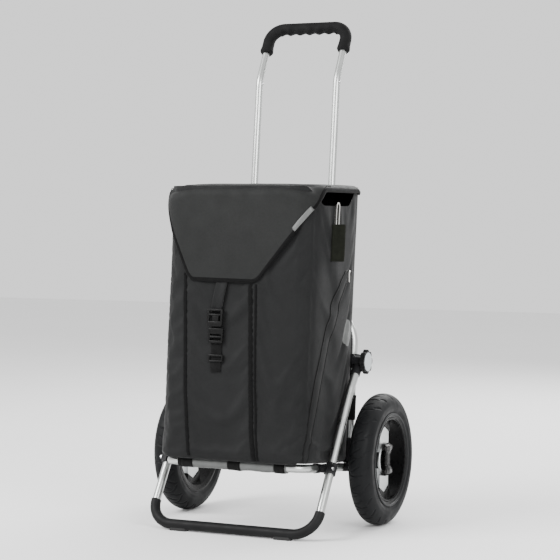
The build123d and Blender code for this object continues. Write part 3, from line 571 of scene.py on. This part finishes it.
def bag_rows(columns, levels):
    rows = []
    for h in levels:
        u = BAG_LOW_U + h
        rise = min(h, EDGE)
        inset = EDGE - sqrt(max(EDGE * EDGE - (EDGE - rise) ** 2, 0.0))
        row = []
        for k in range(columns):
            p = round_p(k, columns)
            x, w, nx, nw = bag_section(p, u, inset)
            fade = min(h / EDGE, 1.0)
            off = fade * (fullness(p, u) + creases(p, u))
            if abs(p) > BACK_CORNER:
                off = min(off, -0.4)
            w += nw * off
            ahead = smooth_step((w - BAR_FRONT) / 10.0)
            sag = SAG * ahead * (1.0 - smooth_step(h / 70.0))
            row.append(at(x + nx * off, u - sag, w))
        rows.append(row)
    return rows


def settle(obj, pinned, frames=14, pressure=1.2, cap=4.0):
    """Lets the cloth fill out and crease, then keeps every point within the cap of its start."""
    start = [v.co.copy() for v in obj.data.vertices]
    group = obj.vertex_groups.new(name="held")
    for index, weight in pinned.items():
        group.add([index], weight, "REPLACE")
    m = modify(obj, "CLOTH")
    s = m.settings
    s.quality = 5
    s.mass = 0.4
    s.tension_stiffness = 20
    s.compression_stiffness = 20
    s.shear_stiffness = 8
    s.bending_stiffness = 1.5
    s.vertex_group_mass = "held"
    s.use_pressure = True
    s.uniform_pressure_force = pressure
    s.shrink_min = -0.012
    s.effector_weights.gravity = 0.35
    m.collision_settings.use_collision = False
    scene = bpy.context.scene
    m.point_cache.frame_start = 1
    m.point_cache.frame_end = frames
    for f in range(1, frames + 1):
        scene.frame_set(f)
    depsgraph = bpy.context.evaluated_depsgraph_get()
    moved = [v.co.copy() for v in obj.evaluated_get(depsgraph).data.vertices]
    obj.modifiers.clear()
    obj.vertex_groups.clear()
    for v, a, b in zip(obj.data.vertices, start, moved):
        step = b - a
        if step.length > cap * MM:
            step = step.normalized() * cap * MM
        v.co = a + step
    scene.frame_set(1)


COLUMNS = 220
TOP_H = u_at(BAG_TOP, BAG_BACK) - BAG_LOW_U
LEVELS = [0, 0.6, 2.4, 5.2, 9, 13.5, 19, 26] + [26 + (TOP_H - 26) * k / 84 for k in range(1, 85)]


def bag_shell():
    rows = bag_rows(COLUMNS, LEVELS)
    n = COLUMNS
    for j in range(n):
        top = rim_height(round_p(j, n)) * MM
        for row in rows:
            row[j].z = min(row[j].z, top)
    base = [at(0, BAG_LOW_U, BAG_BACK + DEPTH_LOW / 2)]
    verts = [p for row in rows for p in row] + base
    faces = quads(rows, around=True)
    centre = len(verts) - 1
    faces += [(centre, (j + 1) % n, j) for j in range(n)]
    obj = mesh("bag_cloth", verts, faces, "frame", M["cloth"])
    pinned = {centre: 1.0}
    for i, h in enumerate(LEVELS):
        for j in range(n):
            p = round_p(j, n)
            hold = 0.0
            if h < 14 or h > TOP_H - 30:
                hold = 1.0
            if abs(p) > BACK_CORNER - 10:
                hold = 1.0
            near = min(abs(abs(p) - FLAT - ARC / 2), abs(p - BAND_MID), abs(p - BAND_LEFT))
            hold = max(hold, 0.9 * exp(-(near / 9.0) ** 2))
            if hold > 0.02:
                pinned[i * n + j] = hold
    settle(obj, pinned)
    for v in obj.data.vertices:
        v.co.z = min(v.co.z, BAG_TOP * MM - 0.0004)
    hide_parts("bag_shell", "side_pocket")
    return obj


dress_frame()
bag = bag_shell()
bag_tree = BVHTree.FromObject(bag, bpy.context.evaluated_depsgraph_get())


def on_bag(p, u, lift=0.0):
    """Point on the finished bag cloth at p and u, lifted off it."""
    normal = bag_normal(p, u)
    start = bag_point(p, u, 30.0)
    hit, _, _, _ = bag_tree.ray_cast(start, -normal, 0.06)
    if hit is None:
        hit = bag_point(p, u)
    return hit + normal * lift * MM


def bag_u(p, z):
    """The u at height z for a place p along the section."""
    u = u_at(z, 200.0)
    for _ in range(3):
        u = u_at(z, bag_section(p, u)[1])
    return u


def thicken(obj, thickness, offset=-1.0):
    modify(obj, "SOLIDIFY", thickness=thickness * MM, offset=offset)
    apply_modifiers(obj)


def front_line(name, points, section, mat, lift, steps=60):
    """Strip or cord lying on the bag along (p, z) corners."""
    path = []
    for (p0, z0), (p1, z1) in zip(points, points[1:]):
        for k in range(steps):
            t = k / steps
            p = p0 + (p1 - p0) * t
            z = z0 + (z1 - z0) * t
            path.append((p, bag_u(p, z)))
    path.append((points[-1][0], bag_u(*points[-1])))
    places = [on_bag(p, u, lift) for p, u in path]
    normals = [bag_normal(p, u) for p, u in path]
    return sweep(name, places, lambda i: section, "frame", mat, up=normals)


def piping():
    """Sewn bands up the front panel."""
    runs = (
        ("front_band_left", [(-120.0, 556.0), (-108.0, 304.0), (-100.0, 220.0), (-94.0, 166.0)], 4.0),
        ("front_band_mid", [(37.0, 534.0), (46.0, 344.0), (52.0, 228.0), (60.0, 164.0)], 5.0),
        ("front_band_right", [(50.0, 534.0), (56.0, 344.0), (63.0, 228.0), (69.0, 164.0)], 2.6),
    )
    out = []
    for name, points, half in runs:
        out.append(front_line(name, points, tape(half, 2.0), M["binding"], 0.6))
    return out


def pocket():
    """Zipped side pocket: the zip's two lines, with a strip of lighter tape between them."""
    outer = [(352.0, 564.0), (330.0, 560.0), (306.0, 540.0), (268.0, 488.0), (238.0, 410.0), (208.0, 330.0),
             (188.0, 250.0), (176.0, 186.0), (174.0, 164.0)]
    inner = [(360.0, 548.0), (336.0, 534.0), (310.0, 500.0), (272.0, 416.0), (244.0, 344.0), (216.0, 260.0),
             (196.0, 200.0), (186.0, 164.0)]
    out = [
        front_line("pocket_zip_outer", outer, tape(1.7, 1.8), M["zip"], 0.5, 14),
        front_line("pocket_zip_inner", inner, tape(1.7, 1.8), M["zip"], 0.5, 14),
    ]
    steps = 90
    rows = []
    for k in range(steps + 1):
        a, b = along_line(outer, k / steps), along_line(inner, k / steps)
        row = []
        for j in range(9):
            t = j / 8
            p = a[0] + (b[0] - a[0]) * t
            z = a[1] + (b[1] - a[1]) * t
            row.append(on_bag(p, bag_u(p, z), 0.35 + 1.3 * sin(pi * t)))
        rows.append(row)
    out.append(grid("pocket_zip_cover", rows, "frame", M["cloth"]))
    return out


def along_line(points, share):
    """Place at a share of the way along (p, z) corners."""
    lengths = [hypot(b[0] - a[0], b[1] - a[1]) for a, b in zip(points, points[1:])]
    run = share * sum(lengths)
    for (a, b), length in zip(zip(points, points[1:]), lengths):
        if run <= length:
            t = run / length
            return a[0] + (b[0] - a[0]) * t, a[1] + (b[1] - a[1]) * t
        run -= length
    return points[-1]


PATCH_P, PATCH_Z = 364.0, 426.0
PATCH_HALF_WIDTH, PATCH_HALF_HEIGHT = 26.0, 29.0


def oval_patch():
    """Grey reflective oval sewn on the flank."""
    rows = []
    for i in range(9):
        r = i / 8
        row = []
        for j in range(40):
            a = 2 * pi * j / 40
            p = PATCH_P + PATCH_HALF_WIDTH * r * cos(a)
            z = PATCH_Z + PATCH_HALF_HEIGHT * r * sin(a)
            row.append(on_bag(p, bag_u(p, z), 0.9 if i < 8 else 0.1))
        rows.append(row)
    rows[0] = [on_bag(PATCH_P, bag_u(PATCH_P, PATCH_Z), 0.9)] * 40
    return grid("reflective_oval", rows, "frame", M["reflect"], around=True)


# --- flap ----------------------------------------------------------------------------------
HEM_LEFT = -108.0
HEM_RIGHT = 51.0
FLANK_HEM = BAG_TOP - 12.0
FLAP_RISE = 3.4
TOP_Z = BAG_TOP + FLAP_RISE
ROUND = 27.0
FLAP_COLUMNS = 260
STITCH_INSET = 11.0
STITCH_REACH = 230.0
BADGE_P, BADGE_Z = -20.0, 580.0


def hem_edge(p):
    """Height of the flap's lower edge at p, before its corners are eased."""
    if p > HEM_RIGHT:
        rise = FLAP_DROP + (p - HEM_RIGHT) * 1.28
        return min(rise, FLANK_HEM)
    if p < HEM_LEFT:
        rise = FLAP_DROP + 4.0 + (HEM_LEFT - p) * 2.15
        return min(rise, FLANK_HEM - 4.0)
    return FLAP_DROP + 3.0 * ((p - HEM_RIGHT) / (HEM_LEFT - HEM_RIGHT))


def hem(p):
    """The lower edge with eased corners, turned up along the back."""
    if abs(p) > BACK_CORNER:
        back = smooth_step((abs(p) - BACK_CORNER) / ARC)
        return FLANK_HEM - 4.0 + back * 5.0
    spread = (-9.0, -6.0, -3.0, 0.0, 3.0, 6.0, 9.0)
    return sum(hem_edge(p + d) for d in spread) / len(spread)


def flap_off(p, z):
    """How far the flap hangs off the bag, in mm."""
    q = abs(p)
    down = (TOP_Z - z) / 200.0
    lift = 2.6 + 1.1 * sin(pi * min(down, 1.0)) * cos(pi * min(q, RIGHT_CORNER) / 2 / RIGHT_CORNER)
    wave = 0.8 * bump_noise(p / 60.0, z / 90.0, 11.0) + 0.35 * bump_noise(p / 22.0, z / 30.0, 5.0)
    corner = exp(-((q - FLAT - ARC / 2) / 30.0) ** 2)
    flare = exp(-((z - BAG_TOP + 40.0) / 45.0) ** 2)
    return lift + wave * min(down * 3, 1.0) + corner * (1.2 + 4.5 * flare)


def flap_place(p, z):
    u = bag_u(p, z)
    off = flap_off(p, z) + fullness(p, u) * 0.8
    if abs(p) > BACK_CORNER:
        off = min(off, 1.6)
    x, w, nx, nw = bag_section(p, u)
    return at(x + nx * off, u, w + nw * off), off


def flap_profile(p, ring_steps, arc_steps, skirt_steps):
    """Places from the middle of the top out over the edge and down to the hem."""
    q = abs(p)
    back = smooth_step((q - BACK_CORNER) / ARC)
    corner = exp(-((q - FLAT - ARC / 2) / 44.0) ** 2) * (1.0 - back)
    bend = ROUND - 18.0 * back + 12.0 * corner
    low = hem(p)
    edge_z = max(TOP_Z - bend, low + 2.0)
    bend = TOP_Z - edge_z
    shoulder = flap_place(p, edge_z)[0]
    centre = at(0, u_at(TOP_Z, BAG_BACK + 130.0), BAG_BACK + 130.0)
    out = Vector((shoulder.x - centre.x, shoulder.y - centre.y, 0.0))
    reach = out.length
    line = out.normalized()
    places = []
    inner = reach - bend * 1.15 * MM
    for k in range(ring_steps):
        r = inner * (k / ring_steps) ** 0.85
        share = r / reach
        crown = 2.6 * (1 - share * share) - 1.5 * corner * share ** 6
        soft = 1.1 * bump_noise(line.x * share * 3.0, line.y * share * 3.0, 2.0) * share
        z = (TOP_Z + crown + soft - 2.4 - 5.0 * corner * share ** 5) * MM
        places.append(Vector((centre.x + line.x * r, centre.y + line.y * r, z)))
    drop = bend * MM
    for k in range(arc_steps):
        a = k / arc_steps * pi / 2
        r = inner + (reach - inner) * sin(a)
        z = TOP_Z * MM - 2.4 * MM * cos(a) - drop * (1 - cos(a)) - 6.5 * corner * MM * cos(a)
        places.append(Vector((centre.x + line.x * r, centre.y + line.y * r, z)))
    for k in range(skirt_steps + 1):
        z = edge_z + (low - edge_z) * k / skirt_steps
        places.append(flap_place(p, z)[0])
    return places


def flap():
    """Flap of coated cloth over the top, the front and the upper corners."""
    profiles = []
    for k in range(FLAP_COLUMNS):
        p = round_p(k, FLAP_COLUMNS)
        profiles.append(flap_profile(p, 14, 9, 34))
    count = len(profiles[0])
    rows = [[profiles[j][i] for j in range(FLAP_COLUMNS)] for i in range(1, count)]
    centre = profiles[0][0]
    verts = [p for row in rows for p in row] + [centre]
    faces = quads(rows, around=True)
    last = len(verts) - 1
    faces += [(last, (j + 1) % FLAP_COLUMNS, j) for j in range(FLAP_COLUMNS)]
    # The flap's material is the bag cloth with painted light from above, so it is lighter and warmer than
    # the bag.
    obj = mesh("flap_cloth_painted_light", verts, faces, "flap", M["flap"])
    thicken(obj, 2.2, -1.0)
    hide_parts("flap_panel")
    edge = []
    normals = []
    for k in range(FLAP_COLUMNS):
        p = round_p(k, FLAP_COLUMNS)
        edge.append(flap_place(p, hem(p) + 3.0)[0] + bag_normal(p, 0) * 0.5 * MM)
        normals.append(bag_normal(p, 0))
    section = oval(5.0, 2.4, 14)
    binding = sweep("flap_binding", edge, lambda i: section, "flap", M["binding"], up=normals,
                    closed=True)
    return obj, binding


def flap_lines():
    """Stitch row inside the binding, and the plain round badge."""
    out = []
    steps = 220
    rows = []
    normals = []
    for k in range(steps + 1):
        p = -STITCH_REACH + 2 * STITCH_REACH * k / steps
        place, _ = flap_place(p, hem(p) + STITCH_INSET)
        rows.append(place + bag_normal(p, 0) * 0.4 * MM)
        normals.append(bag_normal(p, 0))
    out.append(sweep("flap_stitching", rows, lambda i: oval(0.7 + 0.25 * (i % 2), 0.5, 8), "flap",
                     M["binding"], up=normals))
    for name, radius in (("badge_outer", 20.0), ("badge_inner", 14.5)):
        points = []
        normals = []
        for k in range(64):
            a = 2 * pi * k / 64
            p = BADGE_P + radius * cos(a)
            z = BADGE_Z + radius * sin(a)
            points.append(flap_place(p, z)[0] + bag_normal(p, 0) * 0.5 * MM)
            normals.append(bag_normal(p, 0))
        out.append(sweep(name, points, lambda i: oval(0.9, 0.7, 8), "flap", M["binding"],
                         up=normals, closed=True))
    return out


def tag():
    """Blank reflective tag folded over the flap's slanting binding."""
    rows = []
    for i in range(13):
        t = i / 12
        p = 134.0 + 36.0 * t
        row = []
        for j in range(11):
            s = (j - 5) / 5
            z = hem(p) + 4.0 + 5.5 * s
            pp = p - 4.5 * s
            place = flap_place(pp, max(z, hem(pp)))[0] + bag_normal(pp, 0) * (2.2 + 0.8 * (1 - s * s)) * MM
            row.append(place)
        rows.append(row)
    obj = grid("blank_tag", rows, "flap", M["reflect"])
    thicken(obj, 1.2, 0.0)
    return obj


# --- straps and buckle ---------------------------------------------------------------------
STRAP_X = -40.0
BUCKLE_TOP, BUCKLE_LOW = 480.0, 442.0
LOCK_Z = 424.0
LADDER_Z = 375.0
STRAP_TAIL = 346.0


def front_turn():
    """Turns X right, Y up the front face, Z out of it."""
    right = Vector((1, 0, 0))
    out = bag_normal(0.0, 0.0)
    up = out.cross(right).normalized()
    return Matrix((right, up, out)).transposed()


def blocks(parts, centre, turn, body):
    """Buckle blocks from (name, place in the buckle's axes, size, edge radius), in mm."""
    out = []
    for name, place, size, bevel in parts:
        spot = centre + turn @ (Vector(place) * MM)
        out.append(rounded_block(name, spot, size, bevel, body, M["buckle"], turn))
    return out


def strap_web():
    """Webbing that comes down from under the flap to the buckle."""
    start = FLAP_DROP + 6.0
    rows = []
    for k in range(25):
        t = k / 24
        z = start + (BUCKLE_TOP - 4.0 - FLAP_DROP - 6.0) * t
        mid = -29.0 - 12.0 * t
        row = []
        for j in range(9):
            p = mid + 13.0 * (j - 4) / 4
            bow = 3.0 + 3.0 * sin(pi * t) + 0.4 * cos(j)
            row.append(on_bag(p, bag_u(p, z), bow))
        rows.append(row)
    strap = grid("flap_webbing", rows, "flap", M["cloth"])
    thicken(strap, 1.6, 0.0)
    return strap


def straps():
    """Flap strap with its buckle half, and the front strap with its lock and ladder."""
    turn = front_turn()
    out = [strap_web()]
    upper = on_bag(STRAP_X, bag_u(STRAP_X, (BUCKLE_TOP + BUCKLE_LOW) / 2), 6.5)
    out += blocks((
        ("buckle_bar_top", (0, 16.5, 0), (36, 5, 7), 1.6),
        ("buckle_bar_mid", (0, 6.5, 0), (32, 4, 6), 1.6),
        ("buckle_mouth", (0, -13.0, 0), (34, 11, 8.5), 1.6),
        ("buckle_rail_left", (-15.5, 1.0, 0.4), (5, 36, 8), 2.2),
        ("buckle_rail_right", (15.5, 1.0, 0.4), (5, 36, 8), 2.2),
        ("buckle_tongue", (0, -1.5, -0.6), (16, 17, 5), 2.0),
    ), upper, turn, "flap")
    lock = on_bag(STRAP_X + 1.0, bag_u(STRAP_X, LOCK_Z), 5.0)
    out += blocks((
        ("lock_body", (0, 9.0, 0), (34, 13, 8), 1.8),
        ("lock_bar_mid", (0, -3.5, 0), (30, 5, 6), 1.8),
        ("lock_bar_low", (0, -14.0, 0), (34, 6, 7), 1.8),
        ("lock_rail_left", (-15.0, -1.0, 0), (4.5, 31, 7.5), 1.8),
        ("lock_rail_right", (15.0, -1.0, 0), (4.5, 31, 7.5), 1.8),
    ), lock, turn, "frame")
    tail = [(STRAP_X + 1.0, 420.0), (STRAP_X + 3.0, STRAP_TAIL)]
    out.append(front_line("lower_webbing", tail, tape(12.5, 1.6), M["webbing"], 1.6, 24))
    ladder = on_bag(STRAP_X + 2.0, bag_u(STRAP_X, LADDER_Z), 3.6)
    out += blocks((
        ("ladder_bar_top", (0, 6.0, 0), (35, 4.5, 5), 1.6),
        ("ladder_bar_low", (0, -6.0, 0), (35, 4.5, 5), 1.6),
        ("ladder_side_left", (-15.5, 0, 0), (4, 15, 5), 1.4),
        ("ladder_side_right", (15.5, 0, 0), (4, 15, 5), 1.4),
    ), ladder, turn, "frame")
    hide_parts("flap_strap")
    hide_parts("front_strap")
    return out


def board():
    """The bag's base board, which flattens with the bag when the platform folds."""
    obj = nodes["bag_board"]
    verts = [obj.matrix_world @ v.co for v in obj.data.vertices]
    faces = [tuple(polygon.vertices) for polygon in obj.data.polygons]
    plate = mesh("base_board", verts, faces, body_of(obj)[0], M["board"], smooth=False)
    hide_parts("bag_board")
    return plate


WEB_TOP, WEB_DROP = 662.0, 79.0
WEB_HALF = 15.0
WEB_TURN = radians(42)


def hook_webbing():
    """Olive webbing that hangs behind the snap hook."""
    low, high = span("snap_hook")
    x = high.x + 7.0
    y = (low.y + high.y) / 2 - 10.0
    across = Vector((cos(WEB_TURN), sin(WEB_TURN), 0))
    rows = []
    for k in range(19):
        t = k / 18
        z = WEB_TOP - WEB_DROP * t
        lean_y = -(WEB_TOP - z) * tan(LEAN)
        row = []
        for j in range(9):
            s = (j - 4) / 4
            bow = 1.4 * sin(pi * t) + 0.8 * bump_noise(s, t * 3, 4.0)
            side = across * (WEB_HALF * s) + Vector((across.y, -across.x, 0)) * bow
            row.append(Vector((x + side.x, y + lean_y + side.y, z)) * MM)
        rows.append(row)
    obj = grid("hook_webbing", rows, "frame", M["olive"])
    thicken(obj, 2.2, 0.0)


# --- grip, sleeve, wheels ------------------------------------------------------------------
GRIP_R = 14.0
GRIP_BEND = 34.0
GRIP_LEG = 66.0
FINGER_PITCH = 24.0
RING_STEPS = 96


def grip():
    """Foam grip bent over the handle's top bar, with finger hollows below."""
    high = span("handle_grip")[1]
    half = high.x - GRIP_R
    top_y, top_z = high.y - GRIP_R, high.z - GRIP_R
    bend = at(0, 849.0) / MM
    run = Vector((0, top_y - bend.y, top_z - bend.z)).normalized()
    top = Vector((0, top_y, top_z))
    radius = GRIP_BEND
    points = []
    for k in range(12):
        t = k / 12
        points.append(top + Vector((-half, 0, 0)) - run * (GRIP_LEG - (GRIP_LEG - radius) * t))
    for k in range(13):
        a = pi / 2 * k / 12
        points.append(top + Vector((-half + radius * (1 - cos(a)), 0, 0)) - run * radius * (1 - sin(a)))
    for k in range(1, 90):
        x = -half + radius + (2 * half - 2 * radius) * k / 90
        points.append(top + Vector((x, 0, 0)))
    for k in range(13):
        a = pi / 2 * (1 - k / 12)
        points.append(top + Vector((half - radius * (1 - cos(a)), 0, 0)) - run * radius * (1 - sin(a)))
    for k in range(1, 13):
        t = k / 12
        points.append(top + Vector((half, 0, 0)) - run * (radius + (GRIP_LEG - radius) * t))
    count = len(points)
    plane = Vector((1, 0, 0)).cross(run)

    def section(i):
        p = points[i]
        end = min(i, count - 1 - i)
        flare = 1.5 * exp(-((end - 2.0) / 3.5) ** 2)
        shut = 0.80 + 0.20 * min(end / 2.0, 1.0)
        finger = 0.0
        if abs(p.x) < half - radius * 0.6:
            finger = 2.3 * cos(2 * pi * p.x / FINGER_PITCH)
        out = []
        for k in range(24):
            a = 2 * pi * k / 24
            below = max(0.0, cos(a)) ** 2
            r = (13.6 + flare + finger * below + 0.25 * bump_noise(i / 4.0, k / 3.0)) * shut
            out.append((r * cos(a), r * sin(a)))
        return out

    path = [p * MM for p in points]
    obj = sweep("foam_grip", path, section, "handle", M["foam"], up=plane)
    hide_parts("handle_grip")
    return obj


def sleeve():
    """Reflective cloth and black webbing wrapped round the platform's front bar."""
    low, high = span("platform_sleeve")
    y = (low.y + high.y) / 2
    z = (low.z + high.z) / 2
    patches = (("a", low.x - 9, low.x, "webbing"), ("b", low.x, -93, "webbing"), ("c", -93, -9, "reflect"),
               ("d", -9, 20, "webbing"), ("e", 20, 100, "reflect"), ("f", 100, high.x, "webbing"),
               ("g", high.x, high.x + 4, "reflect"))
    for name, left, right, look in patches:
        steps = max(3, int((right - left) / 3))
        rows = []
        thick = 11.2 if look == "webbing" else 10.4
        for k in range(steps + 1):
            x = left + (right - left) * k / steps
            row = []
            for j in range(24):
                a = 2 * pi * j / 24
                sag = 1.6 * max(0.0, -sin(a)) * (1.0 + bump_noise(x / 30.0, 1.0))
                r = thick + 0.3 * bump_noise(x / 8.0, j / 2.0)
                row.append(Vector((x, y + r * cos(a), z + r * sin(a) - sag)) * MM)
            rows.append(row)
        grid(f"bar_wrap_{name}", rows, "platform", M[look], around=True, ends=True)
    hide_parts("platform_sleeve")


PITCHES = 23
TREAD_HALF = radians(152)
GROOVE_RUNS = (
    ((-27.0, -13.0), (-20.0, -5.0), (-11.0, 0.5), (0.0, 2.0), (11.0, -1.0)),
    ((-13.0, -9.0), (5.0, -20.0)),
    ((-27.0, -20.0), (-8.0, -33.0)),
    ((15.0, -8.0), (27.0, -19.0)),
)


def tyre_profile(a):
    """Distance out from the wheel's middle plane and radius, at an angle round the tyre's section."""
    flat = smooth_step((radians(62) - abs(a)) / radians(30))
    x = TYRE_R * sin(a) * 0.995
    r = WHEEL_R - TYRE_R * (1 - cos(a)) * (1.0 - 0.16 * flat)
    return x, r


def off_run(t, s, a, b):
    """Distance of (t, s) from the stretch between a and b."""
    run_t, run_s = b[0] - a[0], b[1] - a[1]
    k = ((t - a[0]) * run_t + (s - a[1]) * run_s) / (run_t * run_t + run_s * run_s)
    k = min(max(k, 0.0), 1.0)
    return hypot(t - a[0] - k * run_t, s - a[1] - k * run_s)


def groove(across, along, pitch):
    """Depth of the tread's grooves, in mm, at a place across and along the tread."""
    if abs(across) > 31.0:
        return 0.0
    s = along % pitch - pitch
    near = 9.0
    for run in GROOVE_RUNS:
        for a, b in zip(run, run[1:]):
            near = min(near, off_run(across, s, a, b), off_run(across, s + pitch, a, b))
    return 1.9 * exp(-(near / 1.15) ** 2)


def tyre(name, side):
    """Tyre with tread grooves and raised rings on its walls."""
    around, across = 920, 60
    pitch = 2 * pi * WHEEL_R / PITCHES
    steps = around // PITCHES
    angles = [(-1 + 2 * k / across) * TREAD_HALF for k in range(across + 1)]
    cuts = [[groove(side * a * TYRE_R, j * pitch / steps, pitch) for j in range(steps)] for a in angles]
    rows = []
    for a, cut in zip(angles, cuts):
        share = abs(a) / TREAD_HALF
        ridge = sum(0.8 * exp(-((share - c) / 0.014) ** 2) for c in (0.52, 0.66, 0.76, 0.90))
        x0, r0 = tyre_profile(a)
        row = []
        for j in range(around):
            phi = 2 * pi * j / around
            depth = cut[j % steps] - ridge
            x = x0 - depth * sin(a)
            r = min(r0 - depth * cos(a), WHEEL_R)
            row.append(Vector((side * WHEEL_X + x, AXLE_Y + r * cos(phi), AXLE_Z + r * sin(phi))) * MM)
        rows.append(row)
    rows.append(rows[0])
    obj = grid(f"tyre_tread_{name}", rows, f"wheel_{name}", M["tyre"], around=True)
    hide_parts(f"tyre_{name}")


def turned(name, centre_x, profile, body, mat):
    """Ring turned about the axle from a closed outline of (x, radius) corners."""
    rows = []
    for x, r in profile + [profile[0]]:
        row = []
        for j in range(RING_STEPS):
            phi = 2 * pi * j / RING_STEPS
            row.append(Vector((centre_x + x, AXLE_Y + r * cos(phi), AXLE_Z + r * sin(phi))) * MM)
        rows.append(row)
    return grid(name, rows, body, mat, around=True)


def cap_half_width(t):
    """Half width of the hub cap at t from -1 to 1 along it: narrow in the middle, rounded at both ends."""
    return 11.0 + 9.5 * smooth_step((abs(t) - 0.30) / 0.45) - 6.0 * smooth_step((abs(t) - 0.82) / 0.18)


def cap_thickness(t):
    """How far the hub cap stands out at t."""
    return 14.0 - 3.0 * (1 - smooth_step((abs(t) - 0.25) / 0.4)) - 5.0 * smooth_step((abs(t) - 0.85) / 0.15)


def hub_cap(name, side):
    """Waisted hub cap with ribs along it."""
    low, high = span(f"hub_cap_{name}")
    inner = low.x if side > 0 else high.x
    rows = []
    levels = 44
    half = (high.z - low.z) / 2 + 4.0
    for k in range(levels + 1):
        t = -1 + 2 * k / levels
        width = cap_half_width(t)
        thick = cap_thickness(t)
        row = []
        for j in range(28):
            a = 2 * pi * j / 28
            c, d = cos(a), sin(a)
            y = width * (abs(c) ** 0.6) * (1 if c > 0 else -1)
            rib = 0.9 * cos(y / 11.0 * 3 * pi) * max(0.0, d)
            x = max(0.0, 0.5 + 0.5 * (abs(d) ** 0.5) * (1 if d > 0 else -1)) * thick + rib
            row.append(Vector((inner + side * x, AXLE_Y + y, AXLE_Z + t * half)) * MM)
        rows.append(row)
    cap = grid(f"waisted_cap_{name}", rows, f"wheel_{name}", M["cap"],
               around=True, ends=True)
    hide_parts(f"hub_cap_{name}")


RIM_FACE = 24.5


def wheel_trim(name, side):
    """Rim rings, waisted hub cap and silver hub ring."""
    body = f"wheel_{name}"
    face = side * RIM_FACE
    ring = [(face, 97.5), (face + side * 1.6, 98.6), (face + side * 2.2, 100.5),
            (face + side * 1.2, 102.8), (face - side * 0.5, 103.4), (face - side * 1.0, 98.0)]
    turned(f"rim_ring_{name}", side * WHEEL_X, ring, body, M["ring"])
    step = [(face, 90.0), (face + side * 1.0, 91.0), (face, 92.0), (face - side * 1.0, 91.0)]
    turned(f"rim_step_{name}", side * WHEEL_X, step, body, M["ring"])
    hub_cap(name, side)
    hub_low, hub_high = span(f"hub_{name}")
    edge = hub_high.x if side > 0 else hub_low.x
    ring = [(0.0, 26.0), (side * 1.8, 27.0), (side * 1.8, 30.5),
            (0.0, 31.5), (-side * 3.0, 31.0), (-side * 3.0, 26.0)]
    turned(f"hub_ring_{name}", edge, ring, body, M["lacquer"])


# --- studio --------------------------------------------------------------------------------
def studio():
    """Pale floor, an even white world and three soft lights."""
    scene = bpy.context.scene
    size = 9.0
    verts = [(-size, -size, 0), (size, -size, 0), (size, size, 0), (-size, size, 0)]
    data = bpy.data.meshes.new("floor")
    data.from_pydata(verts, [], [(0, 1, 2, 3)])
    data.materials.append(floor_paint())
    floor = bpy.data.objects.new("floor", data)
    scene.collection.objects.link(floor)
    world = bpy.data.worlds.new("studio")
    world.use_nodes = True
    world.node_tree.nodes["Background"].inputs[0].default_value = (1.0, 1.0, 1.0, 1)
    world.node_tree.nodes["Background"].inputs[1].default_value = 1.25
    scene.world = world
    lights = (
        ("key", (-2.2, -2.6, 2.8), 2.0, 230.0),
        ("fill", (2.8, -2.2, 1.8), 2.0, 110.0),
        ("back", (0.5, 2.8, 2.4), 2.4, 130.0),
    )
    for name, place, width, power in lights:
        light = bpy.data.lights.new(name, "AREA")
        light.shape = "SQUARE"
        light.size = width
        light.energy = power
        obj = bpy.data.objects.new(name, light)
        obj.location = place
        look = Vector((0, 0, 0.45)) - Vector(place)
        obj.rotation_euler = look.to_track_quat("-Z", "Y").to_euler()
        scene.collection.objects.link(obj)


CAMERA_PLACE = (1.664178, -3.571576, 0.672712)
CAMERA_LENS = 114.13


def camera():
    """Camera in front and to the right, slightly above the middle of the truck."""
    azimuth, pitch, roll = radians(24.723), radians(1.965), radians(0.372)
    forward = Vector((-sin(azimuth) * cos(pitch), cos(azimuth) * cos(pitch), -sin(pitch)))
    level = Vector((cos(azimuth), sin(azimuth), 0))
    upward = level.cross(forward)
    right = level * cos(roll) + upward * sin(roll)
    up = upward * cos(roll) - level * sin(roll)
    data = bpy.data.cameras.new("camera")
    data.lens = CAMERA_LENS
    data.sensor_width = 36.0
    obj = bpy.data.objects.new("camera", data)
    turn = Matrix((right, up, -forward)).transposed().to_4x4()
    obj.matrix_world = Matrix.Translation(CAMERA_PLACE) @ turn
    bpy.context.scene.collection.objects.link(obj)
    bpy.context.scene.camera = obj


soft = [bag, board()] + piping() + pocket() + [oval_patch()]
soft += list(flap()) + flap_lines() + [tag()]
soft += straps()
hook_webbing()
for piece in soft:
    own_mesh(piece)
grip()
sleeve()
for name, side in SIDES:
    tyre(name, side)
    wheel_trim(name, side)
studio()
camera()
